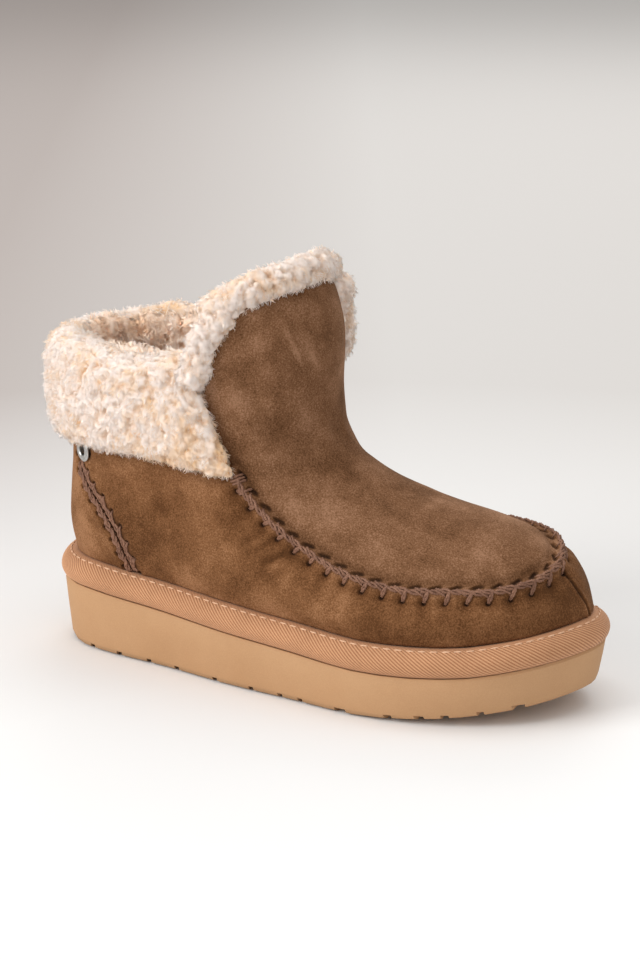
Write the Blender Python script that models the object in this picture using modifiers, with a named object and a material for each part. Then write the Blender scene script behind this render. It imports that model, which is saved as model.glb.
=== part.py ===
"""Ankle boot: fleece-lined suede upper on a foam platform sole, right foot.

The boot stands on the plane z = 0 with its toe towards +X and its outer (lateral) side towards -Y.
Sizes and tables are in millimetres and become metres when a mesh is made.
"""

from functools import cache
from math import pi

import bpy
import numpy as np
from mathutils import Vector

MM = 0.001

# Gap between pieces that touch

GAP = 0.3

# Sole: the stack of foam falls from heel to toe, and the toe springs up from the floor

STACK_HEEL = 30.2
STACK_TOE = 18.7
STACK_FALL = (-107.0, 94.0)
TOE_SPRING = 12.0
SPRING_START = 36.0
SPRING_POWER = 1.8
RAND_HEIGHT = 11.8
FEATHER_INSET = 4.8

# Upper: wall with its lining, and heights or lengths over which one shape blends into the next

WALL = 5.0
SHAFT_HALF_WIDTH = 41.0
SHAFT_BLEND = (62.0, 118.0)
WIDTH_SPAN = (-88.0, 50.0)
BULGE_END = (40.0, 105.0)
PLAN_BLEND = (0.0, 4.5)
MEDIAL_SLIT_LEAD = 19.0
LEAD_HEIGHTS = (80.0, 142.0)
WELT_STAND = 2.0
FRONT_FOOT = (127.0, 0.0)
BACK_FOOT = (-128.0, 0.0)

# Points on one side of a loop, and the step where the slit between cuff and flap stands

SIDE_STEPS = 28
SLIT_STEP = 15
SLIT = SLIT_STEP / SIDE_STEPS

LATERAL = -1
MEDIAL = 1

# Plan outline of the sole, half-widths at stations from the heel tip to the toe tip

OUTLINE_COLUMNS = ("x", "lateral", "medial")
OUTLINE = (
    (-134.0, 0.0, 0.0),
    (-127.0, 19.8, 19.8),
    (-114.0, 31.8, 31.0),
    (-95.0, 37.4, 35.8),
    (-62.0, 41.6, 37.6),
    (-25.0, 48.6, 39.8),
    (10.0, 52.2, 45.0),
    (45.0, 56.2, 52.2),
    (75.0, 52.6, 52.4),
    (98.0, 44.0, 46.6),
    (116.0, 31.0, 36.4),
    (128.0, 14.6, 25.0),
    (134.0, -5.5, 5.5),
)

# Sections of the sole's pieces from the bottom up: how far each loop stands inside the outline,
# the share of the piece's height it stands at, and millimetres added to that

SOLE_COLUMNS = ("inset", "share", "lift")
OUTSOLE_SECTION = (
    (5.7, 0.0, 0.0),
    (3.6, 0.0, 0.9),
    (2.7, 0.0, 3.0),
    (1.1, 0.6, 0.0),
    (0.1, 1.0, -1.2),
    (0.8, 1.0, 0.0),
)
MIDSOLE_SECTION = (
    (1.4, 0.0, 0.0),
    (-0.6, 0.0, 1.8),
    (-1.6, 0.0, 4.4),
    (-1.1, 0.0, 7.2),
    (0.8, 0.0, 9.9),
    (2.8, 0.0, 11.4),
    (FEATHER_INSET, 1.0, 0.0),
)
INSOLE_SECTION = (
    (0.6, 0.0, 0.0),
    (0.0, 0.0, 1.25),
    (0.3, 0.0, 3.75),
    (2.0, 0.0, 5.0),
)

# Zigzag grooves between the lugs: place along the sole, and width

GROOVES = (
    (-119.0, 2.6),
    (-104.0, 2.6),
    (-88.0, 3.0),
    (-71.0, 2.6),
    (-55.0, 2.6),
    (-33.0, 2.6),
    (-13.0, 2.6),
    (3.0, 2.6),
    (14.0, 2.6),
    (36.0, 6.0),
    (59.0, 3.5),
    (72.5, 4.0),
    (83.0, 3.5),
    (98.0, 3.0),
    (113.0, 5.0),
)
GROOVE_DEPTH = 2.4
GROOVE_ZIGZAG = 4.0
GROOVE_BENDS = 6
GROOVE_REACH = 70.0
GROOVE_BELOW = -5.0

# Loops of the upper from the sole to the collar: where each crosses the heel, the slit and the ridge
# of the vamp, how far it dips between slit and ridge, and how round it is in plan at both ends

LOOP_COLUMNS = ("back_x", "back_z", "slit_x", "slit_z", "front_x", "front_z", "ridge_y", "dip",
                "rise_power", "back_round", "front_round", "bulge")
LOOPS = (
    (-129.6, 50.0, -3.0, 41.5, 127.0, 50.0, 5.5, 5.0, 1.0, 42.0, 62.0, 1.2),
    (-130.8, 58.0, -4.0, 47.5, 124.5, 57.5, 5.5, 8.0, 1.0, 43.0, 62.0, 2.6),
    (-130.6, 66.0, -6.0, 55.5, 119.5, 65.0, 6.0, 10.0, 1.0, 44.0, 61.0, 3.2),
    (-129.8, 74.0, -8.0, 64.0, 112.5, 71.0, 6.0, 12.0, 1.0, 45.0, 60.0, 2.8),
    (-129.0, 81.0, -11.0, 73.0, 101.0, 76.0, 6.0, 13.5, 1.0, 46.0, 58.0, 2.0),
    (-128.3, 88.0, -14.0, 81.5, 86.0, 80.3, 6.0, 14.0, 1.0, 47.0, 56.0, 1.2),
    (-128.0, 94.0, -17.5, 90.0, 68.0, 83.3, 6.0, 12.5, 1.0, 48.0, 54.0, 0.6),
    (-127.8, 99.5, -21.0, 98.0, 50.0, 86.8, 5.5, 10.0, 1.0, 49.0, 52.0, 0.3),
    (-127.8, 105.0, -24.0, 104.5, 33.0, 91.7, 4.5, 7.0, 1.0, 50.0, 50.0, 0.0),
    (-128.0, 110.0, -27.0, 111.0, 19.0, 98.3, 3.0, 4.0, 1.0, 50.0, 48.0, 0.0),
    (-128.3, 115.0, -29.5, 117.0, 9.5, 108.0, 1.5, 2.0, 1.0, 51.0, 47.0, 0.0),
    (-128.6, 120.0, -32.0, 123.0, 6.0, 120.5, 0.5, 0.5, 1.0, 52.0, 46.0, 0.0),
    (-129.0, 125.0, -34.5, 128.5, 5.0, 132.0, 0.0, 0.0, 1.0, 52.0, 46.0, 0.0),
    (-129.3, 129.5, -37.0, 133.0, 5.5, 145.0, 0.0, 0.0, 0.8, 52.0, 46.0, 0.0),
    (-129.5, 133.5, -39.0, 137.0, 5.5, 158.0, 0.0, 0.0, 0.6, 52.0, 46.0, 0.0),
    (-129.6, 136.5, -40.0, 140.0, 2.0, 170.0, 0.0, 0.0, 0.48, 52.0, 46.0, 0.0),
    (-129.6, 138.5, -41.0, 142.0, -1.0, 179.0, 0.0, 0.0, 0.4, 52.0, 46.0, 0.0),
)
TOP_LEVEL = len(LOOPS) - 1
FINE_LOOPS = 26

# Cuff: its section from the lower edge of the inner face, over the top, to the lower edge outside.
# `out` is the distance from the leather, `up` the share of the leg's height, `lift` millimetres above it

CUFF_COLUMNS = ("out", "up", "lift")
CUFF_SECTION = (
    (0.9, 0.00, 1.5),
    (0.9, 0.33, 0.0),
    (0.9, 0.67, 0.0),
    (0.9, 1.00, 0.8),
    (-6.0, 1.00, 0.8),
    (-8.5, 1.00, 3.0),
    (-7.5, 1.00, 7.0),
    (-2.5, 1.00, 9.0),
    (4.0, 1.00, 8.0),
    (8.5, 1.00, 4.0),
    (10.2, 0.90, 0.0),
    (10.8, 0.62, 0.0),
    (10.8, 0.34, 0.0),
    (9.8, 0.12, 0.0),
    (7.0, 0.00, -1.0),
    (3.5, 0.00, -1.0),
)
CUFF_REACH = 0.992
CUFF_PROBE = 0.004
CUFF_INNER = 1.0
CUFF_ENDS = ((0, 15, 14, 13), (0, 13, 12, 1), (1, 12, 11, 2), (2, 11, 10, 3), (3, 10, 9, 8),
             (3, 8, 7, 4), (4, 7, 6, 5))
CUFF_END_THINNING = (0.70, 0.92)

# Lower edge of the cuff, from the back (0) to the slit (1)

EDGE_COLUMNS = ("share", "height")
CUFF_EDGE = (
    (0.0, 97.0),
    (0.35, 101.5),
    (0.7, 101.5),
    (1.0, 96.5),
)

# Roll of pile along the flap's edge

TRIM_RADIUS = 6.3
TRIM_LIFT = 0.4
TRIM_START = 0.59
TRIM_POINTS = 15
TRIM_RESOLUTION = 2

# Eyelet: its place on the leather, and its turned section, with heights above the leather

EYELET_X = -106.6
EYELET_Z = 95.5
EYELET_SIDES = 24
EYELET_BARREL = 3.4
EYELET_SECTION = (
    (EYELET_BARREL, 1.50),
    (4.8, 1.33),
    (5.4, 0.90),
    (5.25, 0.40),
    (EYELET_BARREL, 0.40),
    (EYELET_BARREL, -WALL),
    (2.5, -WALL),
    (2.5, 1.17),
    (2.9, 1.50),
)

# Colour, roughness and metal of each look

LOOKS = {
    "foam": ((0.60, 0.38, 0.20), 0.75, 0.0),
    "tape": ((0.55, 0.29, 0.15), 0.80, 0.0),
    "footbed": ((0.42, 0.34, 0.25), 0.95, 0.0),
    "suede": ((0.22, 0.12, 0.06), 0.95, 0.0),
    "pile": ((0.80, 0.66, 0.50), 1.00, 0.0),
    "trim_pile": ((0.80, 0.66, 0.50), 1.00, 0.0),
    "nickel": ((0.45, 0.45, 0.45), 0.30, 1.0),
}


def table(rows, columns):
    """Columns of a table as named arrays."""
    return dict(zip(columns, np.array(rows, float).T))


def smoothstep(value, start, end):
    t = np.clip((value - start) / (end - start), 0, 1)
    return t * t * (3 - 2 * t)


def smooth_slopes(knots, values):
    """Slopes of a shape-keeping cubic, flat where the values turn."""
    run = np.diff(knots)
    rise = np.diff(values) / run
    slopes = np.zeros(len(knots))
    slopes[0] = rise[0]
    slopes[-1] = rise[-1]
    for i in range(1, len(knots) - 1):
        if rise[i - 1] * rise[i] > 0:
            before = 2 * run[i] + run[i - 1]
            after = run[i] + 2 * run[i - 1]
            slopes[i] = (before + after) / (before / rise[i - 1] + after / rise[i])
    return slopes


def curve_at(knots, values, at):
    """Smooth curve through a table's points, read at the given places."""
    slopes = smooth_slopes(knots, values)
    at = np.clip(at, knots[0], knots[-1])
    i = np.clip(np.searchsorted(knots, at, side="right") - 1, 0, len(knots) - 2)
    run = knots[i + 1] - knots[i]
    t = (at - knots[i]) / run
    start = (1 + 2 * t) * (1 - t) ** 2 * values[i] + t * (1 - t) ** 2 * run * slopes[i]
    end = t * t * (3 - 2 * t) * values[i + 1] + t * t * (t - 1) * run * slopes[i + 1]
    return start + end


def closed_curve(points, per_span=24):
    """Smooth closed curve through the points (centripetal spline)."""
    count = len(points)
    loop = np.vstack([points[-1:], points, points[:2]])
    knots = np.r_[0, np.cumsum(np.sqrt(np.hypot(*np.diff(loop, axis=0).T)))]
    spans = []
    for k in range(1, count + 1):
        t0, t1, t2, t3 = knots[k - 1:k + 3]
        p0, p1, p2, p3 = loop[k - 1:k + 3]
        t = np.linspace(t1, t2, per_span + 1)[:-1, None]
        a1 = ((t1 - t) * p0 + (t - t0) * p1) / (t1 - t0)
        a2 = ((t2 - t) * p1 + (t - t1) * p2) / (t2 - t1)
        a3 = ((t3 - t) * p2 + (t - t2) * p3) / (t3 - t2)
        b1 = ((t2 - t) * a1 + (t - t0) * a2) / (t2 - t0)
        b2 = ((t3 - t) * a2 + (t - t1) * a3) / (t3 - t1)
        spans.append(((t2 - t) * b1 + (t - t1) * b2) / (t2 - t1))
    return np.vstack(spans)


def outline_curve(inset):
    """Dense plan outline from the heel tip round the lateral side, the toe and back, moved inwards."""
    rows = table(OUTLINE, OUTLINE_COLUMNS)
    lateral = np.c_[rows["x"], -rows["lateral"]]
    medial = np.c_[rows["x"], rows["medial"]][-2:0:-1]
    curve = closed_curve(np.vstack([lateral, medial]))
    along = np.roll(curve, -1, axis=0) - np.roll(curve, 1, axis=0)
    inwards = np.c_[-along[:, 1], along[:, 0]] / np.hypot(*along.T)[:, None]
    return curve + inwards * inset


@cache
def half_outline(inset, side):
    """One side of the plan outline from heel tip to toe tip."""
    curve = outline_curve(inset)
    heel = np.argmin(curve[:, 0])
    curve = np.roll(curve, -heel, axis=0)
    toe = np.argmax(curve[:, 0])
    if side == LATERAL:
        return curve[:toe + 1]
    return np.vstack([curve[:1], curve[:toe - 1:-1]])


def cosine_steps(count):
    """Steps from 0 to 1, close together at both ends."""
    return (1 - np.cos(pi * np.arange(count + 1) / count)) / 2


def plan_loop(inset):
    """Plan loop of paired points: heel, lateral side, toe, medial side."""
    sides = []
    for side in (LATERAL, MEDIAL):
        half = half_outline(inset, side)
        x = half[0, 0] + (half[-1, 0] - half[0, 0]) * cosine_steps(SIDE_STEPS)
        sides.append(np.c_[x, np.interp(x, half[:, 0], half[:, 1])])
    return np.vstack([sides[0], sides[1][-2:0:-1]])


def spring(x):
    """Height of the underside above the floor."""
    tip = OUTLINE[-1][0]
    return TOE_SPRING * np.clip((x - SPRING_START) / (tip - SPRING_START), 0, 1) ** SPRING_POWER


def foam_top(x):
    """Height of the outsole's upper edge."""
    fall = np.clip((x - STACK_FALL[0]) / (STACK_FALL[1] - STACK_FALL[0]), 0, 1)
    return STACK_HEEL + (STACK_TOE - STACK_HEEL) * fall + spring(x)


def rand_foot(x):
    """Height of the midsole's lower face."""
    return foam_top(x) + GAP


def rand_top(x):
    """Height of the midsole's upper face."""
    return rand_foot(x) + RAND_HEIGHT


def footbed_foot(x):
    """Height of the insole's lower face."""
    return rand_top(x) + GAP


def collection(name):
    made = bpy.data.collections.new(name)
    bpy.context.scene.collection.children.link(made)
    return made


def material(name):
    colour, roughness, metallic = LOOKS[name]
    made = bpy.data.materials.new(name)
    made.use_nodes = True
    shader = made.node_tree.nodes["Principled BSDF"]
    shader.inputs["Base Color"].default_value = (*colour, 1.0)
    shader.inputs["Roughness"].default_value = roughness
    shader.inputs["Metallic"].default_value = metallic
    return made


def mesh_object(name, points, faces, look, place):
    """Mesh object from points in millimetres, shaded smooth."""
    mesh = bpy.data.meshes.new(name)
    mesh.from_pydata([tuple(p) for p in np.asarray(points) * MM], [], faces)
    mesh.shade_smooth()
    mesh.update()
    if look:
        mesh.materials.append(material(look))
    made = bpy.data.objects.new(name, mesh)
    place.objects.link(made)
    return made


def band_faces(rows, columns, first=0):
    """Quads between rows of closed loops, outwards when the loops run anticlockwise going up."""
    faces = []
    for r in range(rows - 1):
        for c in range(columns):
            a = first + r * columns + c
            b = first + r * columns + (c + 1) % columns
            faces.append((a, b, b + columns, a + columns))
    return faces


def cap_faces(columns, first, upwards):
    """Quads across a paired loop, with a triangle at the heel and at the toe."""
    faces = []
    half = columns // 2
    for j in range(half):
        lateral = [first + j, first + j + 1]
        medial = [first + (columns - j - 1) % columns, first + (columns - j) % columns]
        face = list(dict.fromkeys(lateral + medial))
        faces.append(tuple(face if upwards else face[::-1]))
    return faces


def plan_solid(name, section, inset, low, high, look, place):
    """Closed solid from plan loops stacked up a section between two height functions."""
    rows = table(section, SOLE_COLUMNS)
    points = []
    for further, share, lift in zip(rows["inset"], rows["share"], rows["lift"]):
        loop = plan_loop(inset + further)
        x = loop[:, 0]
        points.append(np.c_[loop, low(x) + share * (high(x) - low(x)) + lift])
    columns = len(points[0])
    faces = band_faces(len(points), columns)
    faces += cap_faces(columns, 0, upwards=False)
    faces += cap_faces(columns, (len(points) - 1) * columns, upwards=True)
    return mesh_object(name, np.vstack(points), faces, look, place)


def make_outsole(place):
    """Foam wedge with a rounded lower edge."""
    return plan_solid("outsole", OUTSOLE_SECTION, 0.0, spring, foam_top, "foam", place)


def make_midsole(place):
    """Block between outsole and upper; its tape-wrapped side is half round."""
    return plan_solid("midsole", MIDSOLE_SECTION, 0.0, rand_foot, rand_top, "tape", place)


def make_insole(place):
    """Flat footbed with a soft upper edge, inside the wall of the upper."""
    inset = FEATHER_INSET + WALL + 3 * GAP
    return plan_solid("insole", INSOLE_SECTION, inset, footbed_foot, footbed_foot, "footbed", place)


def hide_cutter(cutter):
    cutter.hide_render = True
    cutter.display_type = "WIRE"


def groove_cutter(name, x, width, place):
    """Zigzag bar across the sole, standing up from below the floor to the depth of the groove."""
    y = np.linspace(-GROOVE_REACH, GROOVE_REACH, GROOVE_BENDS + 1)
    middle = x + GROOVE_ZIGZAG * (np.arange(GROOVE_BENDS + 1) % 2 - 0.5)
    outline = np.vstack([np.c_[middle + width / 2, y], np.c_[middle - width / 2, y][::-1]])
    count = len(outline)
    top = spring(x) + GROOVE_DEPTH
    points = np.vstack([
        np.c_[outline, np.full(count, GROOVE_BELOW)],
        np.c_[outline, np.full(count, top)],
    ])
    faces = band_faces(2, count)
    for i in range(GROOVE_BENDS):
        far = count - 1 - i
        faces.append((i, far, far - 1, i + 1))
        faces.append((count + i, count + i + 1, count + far - 1, count + far))
    cutter = mesh_object(name, points, faces, None, place)
    hide_cutter(cutter)
    return cutter


def profile_curve(x_column, z_column, foot):
    """Dense side-view curve through the loops' ends, carried on below the sole and above the collar."""
    levels = np.linspace(0, TOP_LEVEL, 20 * TOP_LEVEL + 1)
    rows = table(LOOPS, LOOP_COLUMNS)
    knots = np.arange(len(LOOPS), dtype=float)
    curve = np.c_[curve_at(knots, rows[x_column], levels), curve_at(knots, rows[z_column], levels)]
    beyond = curve[-1] + 3 * (curve[-1] - curve[-20])
    return np.vstack([foot, curve, beyond])


def distance_to(curve, x, z):
    """Shortest distance in side view from each point to the curve."""
    starts = curve[:-1]
    spans = np.diff(curve, axis=0)
    points = np.c_[x, z][:, None, :]
    t = ((points - starts) * spans).sum(2) / np.maximum((spans * spans).sum(1), 1e-9)
    nearest = starts + np.clip(t, 0, 1)[..., None] * spans
    return np.sqrt(((points - nearest) ** 2).sum(2)).min(1)


def arch(t):
    """Quarter circle, rising from 0 to 1."""
    return np.sqrt(1 - (1 - np.clip(t, 0, 1)) ** 2)


class UpperForm:
    """Outer surface of the upper, read at a level (0 at the sole) and a step (heel 0, ridge 1)."""

    def __init__(self):
        self.rows = table(LOOPS, LOOP_COLUMNS)
        self.knots = np.arange(len(LOOPS), dtype=float)
        self.front = profile_curve("front_x", "front_z", FRONT_FOOT)
        self.back = profile_curve("back_x", "back_z", BACK_FOOT)

    def row(self, level):
        return {name: float(curve_at(self.knots, column, np.array(level)))
                for name, column in self.rows.items()}

    def side_view(self, row, steps, side):
        """x and z along a loop, and each point's share of the way from the slit to the ridge."""
        ahead = steps > SLIT
        slit_x = row["slit_x"]
        if side == MEDIAL:
            slit_x = slit_x + MEDIAL_SLIT_LEAD * smoothstep(row["slit_z"], *LEAD_HEIGHTS)
        behind = 1 - np.cos(pi / 2 * np.clip(steps / SLIT, 0, 1))
        before = np.sin(pi / 2 * np.clip((steps - SLIT) / (1 - SLIT), 0, 1))
        x = np.where(ahead, slit_x + (row["front_x"] - slit_x) * before,
                     row["back_x"] + (slit_x - row["back_x"]) * behind)
        rise = before ** row["rise_power"]
        z_ahead = row["slit_z"] + (row["front_z"] - row["slit_z"]) * rise
        z_ahead = z_ahead - row["dip"] * 4 * before * (1 - before)
        z_behind = row["back_z"] + (row["slit_z"] - row["back_z"]) * behind
        return x, np.where(ahead, z_ahead, z_behind), np.where(ahead, before, 0.0)

    def half_width(self, row, x, z, side):
        """Distance from the loop's middle line."""
        half = half_outline(FEATHER_INSET, side)
        foot = np.abs(np.interp(np.clip(x, *WIDTH_SPAN), half[:, 0], half[:, 1]))
        widest = foot + (SHAFT_HALF_WIDTH - foot) * smoothstep(z, *SHAFT_BLEND)
        ends = arch(distance_to(self.front, x, z) / row["front_round"])
        ends = ends * arch(distance_to(self.back, x, z) / row["back_round"])
        bulge = row["bulge"] * (1 - smoothstep(x, *BULGE_END))
        return (widest + bulge) * ends

    def points(self, level, steps, side):
        """Points of one side of a loop."""
        row = self.row(level)
        steps = np.asarray(steps, float)
        x, z, ahead = self.side_view(row, steps, side)
        middle = row["ridge_y"] * ahead ** 2
        width = self.half_width(row, x, z, side)
        first = self.row(0)
        first_x, first_z, first_ahead = self.side_view(first, steps, side)
        half = half_outline(FEATHER_INSET + GAP - first["bulge"], side)
        share = (first_x - first["back_x"]) / (first["front_x"] - first["back_x"])
        plan_x = half[0, 0] + (half[-1, 0] - half[0, 0]) * share
        plan = np.abs(np.interp(plan_x, half[:, 0], half[:, 1]) - first["ridge_y"] * first_ahead ** 2)
        fit = plan / np.maximum(self.half_width(first, first_x, first_z, side), 1e-6)
        inner = (steps > 0) & (steps < 1)
        fit = np.where(inner, fit, 1.0)
        width = np.where(inner, width, 0.0)
        width = width * (fit + (1 - fit) * smoothstep(level, *PLAN_BLEND))
        return np.c_[x, middle + side * width, z]

    def loop(self, level):
        """Closed loop: heel, lateral side, ridge, medial side."""
        steps = np.arange(SIDE_STEPS + 1) / SIDE_STEPS
        lateral = self.points(level, steps, LATERAL)
        medial = self.points(level, steps, MEDIAL)
        return np.vstack([lateral, medial[-2:0:-1]])

    def feather_loop(self):
        """Plan loop on the midsole's upper face, its points under those of the first loop."""
        first = self.loop(0)
        sides = []
        for side in (LATERAL, MEDIAL):
            half = half_outline(FEATHER_INSET + 2 * GAP, side)
            x = first[:SIDE_STEPS + 1, 0]
            x = half[0, 0] + (half[-1, 0] - half[0, 0]) * (x - x[0]) / (x[-1] - x[0])
            sides.append(np.c_[x, np.interp(x, half[:, 0], half[:, 1])])
        loop = np.vstack([sides[0], sides[1][-2:0:-1]])
        return np.c_[loop, rand_top(loop[:, 0]) + GAP]

    def column(self, step, side):
        """One column of the surface from the sole to the collar."""
        levels = np.linspace(0, TOP_LEVEL, 8 * TOP_LEVEL + 1)
        return np.vstack([self.points(level, [step], side) for level in levels])


def make_upper(form, place):
    """Hollow upper: an open skin from sole to collar, thickened inwards."""
    feather = form.feather_loop()
    rows = [feather, feather + (0, 0, WELT_STAND)]
    rows += [form.loop(level) for level in np.linspace(0, TOP_LEVEL, FINE_LOOPS)]
    faces = band_faces(len(rows), len(feather))
    made = mesh_object("upper", np.vstack(rows), faces, "suede", place)
    wall = made.modifiers.new("wall", "SOLIDIFY")
    wall.thickness = WALL * MM
    wall.offset = -1.0
    return made


def read_column(column, at):
    """Points on a column at the given shares of its samples."""
    places = np.linspace(0, 1, len(column))
    return np.c_[[np.interp(at, places, values) for values in column.T]].T


def cuff_column(form, section, s, thin):
    """The cuff's section at a signed step: medial steps are positive, lateral ones negative."""
    side = MEDIAL if s > 0 else LATERAL
    step = abs(s)
    column = form.column(step, side)
    ahead = form.column(step + CUFF_PROBE, side)
    if step > CUFF_PROBE:
        behind = form.column(step - CUFF_PROBE, side)
    else:
        behind = form.column(CUFF_PROBE, -side)
    edge = table(CUFF_EDGE, EDGE_COLUMNS)
    low = curve_at(edge["share"], edge["height"], np.array(step / SLIT))
    z = low + section["up"] * (column[-1, 2] - low)
    at = np.interp(z, column[:, 2], np.linspace(0, 1, len(column)))
    points = read_column(column, at)
    along = read_column(ahead - behind, at) * side
    out = np.c_[-along[:, 1], along[:, 0]] / np.hypot(along[:, 0], along[:, 1])[:, None]
    reach = np.where(section["out"] > CUFF_INNER, section["out"] * thin, section["out"])
    points[:, :2] += out * reach[:, None]
    points[:, 2] = z + section["lift"]
    return points


def make_cuff(form, place):
    """Folded band of pile round the back: a section swept along the quarters' top edge."""
    section = table(CUFF_SECTION, CUFF_COLUMNS)
    count = len(CUFF_SECTION)
    signed = np.arange(SLIT_STEP, -SLIT_STEP - 1, -1) / SIDE_STEPS * CUFF_REACH
    thinning = np.ones(len(signed))
    thinning[:2] = CUFF_END_THINNING
    thinning[-2:] = CUFF_END_THINNING[::-1]
    columns = [cuff_column(form, section, s, thin) for s, thin in zip(signed, thinning)]
    last = (len(columns) - 1) * count
    faces = band_faces(len(columns), count)
    faces += CUFF_ENDS
    faces += [tuple(last + i for i in end[::-1]) for end in CUFF_ENDS]
    return mesh_object("cuff", np.vstack(columns), faces, "pile", place)


def unit(vectors):
    return vectors / np.linalg.norm(vectors, axis=-1, keepdims=True)


def make_flap_trim(form, place):
    """Roll of pile along the top edge of the front flap, as a bevelled curve."""
    steps = np.linspace(TRIM_START, 1.0, TRIM_POINTS)
    lines = []
    for level in (TOP_LEVEL, TOP_LEVEL - 0.5):
        medial = form.points(level, steps, MEDIAL)
        lines.append(np.vstack([form.points(level, steps, LATERAL), medial[-2::-1]]))
    edge, under = lines
    along = unit(np.gradient(edge, axis=0))
    up = edge - under
    up = unit(up - (up * along).sum(1)[:, None] * along)
    out = np.cross(along, up)
    centre = edge - out * WALL / 2 + up * (TRIM_RADIUS + TRIM_LIFT)
    curve = bpy.data.curves.new("flap_trim", "CURVE")
    curve.dimensions = "3D"
    curve.bevel_depth = TRIM_RADIUS * MM
    curve.bevel_resolution = TRIM_RESOLUTION
    curve.use_fill_caps = True
    spline = curve.splines.new("POLY")
    spline.points.add(len(centre) - 1)
    for point, spot in zip(spline.points, centre):
        point.co = (*(spot * MM), 1.0)
    curve.materials.append(material("trim_pile"))
    made = bpy.data.objects.new("flap_trim", curve)
    place.objects.link(made)
    return made


def eyelet_pose(form):
    """Point and outward direction on the leather where the eyelet sits."""
    levels = np.linspace(2.0, 10.0, 161)
    steps = np.linspace(0.04, SLIT, 120)
    grid = np.array([form.points(level, steps, LATERAL) for level in levels])
    miss = np.hypot(grid[..., 0] - EYELET_X, grid[..., 2] - EYELET_Z)
    i, j = np.unravel_index(np.argmin(miss), miss.shape)
    upwards = grid[i + 2, j] - grid[i - 2, j]
    forwards = grid[i, j + 2] - grid[i, j - 2]
    out = np.cross(forwards, upwards)
    return grid[i, j], unit(out)


def aim(made, spot, out):
    """Place an object at a spot in millimetres with its Z axis along a direction."""
    made.location = Vector(spot * MM)
    made.rotation_mode = "QUATERNION"
    made.rotation_quaternion = Vector(out).to_track_quat("Z", "Y")


def make_eyelet(spot, out, place):
    """Turned metal ring whose barrel passes through the wall."""
    count = len(EYELET_SECTION)
    edges = [(i, (i + 1) % count) for i in range(count)]
    mesh = bpy.data.meshes.new("eyelet")
    mesh.from_pydata([(r * MM, 0.0, z * MM) for r, z in EYELET_SECTION], edges, [])
    mesh.materials.append(material("nickel"))
    made = bpy.data.objects.new("eyelet", mesh)
    place.objects.link(made)
    turn = made.modifiers.new("turn", "SCREW")
    turn.steps = EYELET_SIDES
    turn.render_steps = EYELET_SIDES
    turn.use_merge_vertices = True
    turn.merge_threshold = 0.00001
    turn.use_smooth_shade = True
    aim(made, spot, out)
    return made


def make_eyelet_hole(spot, out, place):
    """Cylinder that cuts the eyelet's hole in the wall."""
    bpy.ops.mesh.primitive_cylinder_add(vertices=EYELET_SIDES, radius=(EYELET_BARREL + GAP) * MM,
                                        depth=4 * WALL * MM)
    hole = bpy.context.object
    hole.name = "eyelet_hole"
    aim(hole, spot, out)
    for home in list(hole.users_collection):
        home.objects.unlink(hole)
    place.objects.link(hole)
    hide_cutter(hole)
    return hole


def cut(made, cutter):
    """Boolean difference, kept as a modifier."""
    step = made.modifiers.new(cutter.name, "BOOLEAN")
    step.operation = "DIFFERENCE"
    step.solver = "EXACT"
    step.object = cutter


def centre_over_origin(objects, root):
    """Move the boot so that the middle of its bounding box stands over the origin."""
    bpy.context.view_layer.update()
    scene = bpy.context.evaluated_depsgraph_get()
    corners = []
    for made in objects:
        solid = made.evaluated_get(scene)
        corners += [solid.matrix_world @ vertex.co for vertex in solid.to_mesh().vertices]
        solid.to_mesh_clear()
    corners = np.array(corners)
    middle = (corners.min(0) + corners.max(0)) / 2
    root.location = (-middle[0], -middle[1], 0.0)


def main():
    for old in list(bpy.data.objects):
        bpy.data.objects.remove(old, do_unlink=True)
    place = collection("ankle_boot")
    cutters = collection("cutters")
    form = UpperForm()
    outsole = make_outsole(place)
    hidden = []
    for index, (x, width) in enumerate(GROOVES):
        hidden.append(groove_cutter(f"groove_cutter_{index}", x, width, cutters))
        cut(outsole, hidden[-1])
    upper = make_upper(form, place)
    spot, out = eyelet_pose(form)
    hidden.append(make_eyelet_hole(spot, out, cutters))
    cut(upper, hidden[-1])
    pieces = [outsole, make_midsole(place), make_insole(place), upper, make_cuff(form, place),
              make_flap_trim(form, place), make_eyelet(spot, out, place)]
    root = bpy.data.objects.new("boot_origin", None)
    place.objects.link(root)
    for made in pieces + hidden:
        made.parent = root
    centre_over_origin(pieces, root)


main()
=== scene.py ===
# %% [markdown]
# # A fleece-lined suede ankle boot
# The solids of this boot come packed from CAD: sole, upper, cuff, trim and eyelet, all in metres,
# with the toe towards +X, the outer side towards -Y and the floor at z = 0. This notebook dresses
# them: napped suede with its seams, curly pile, ribbed tape and foam. Each step makes one thing.

# %% Load the frame
from math import cos, pi, radians, sin

import bpy
import numpy as np
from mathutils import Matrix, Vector, noise
from mathutils.bvhtree import BVHTree
from mathutils.kdtree import KDTree


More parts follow.
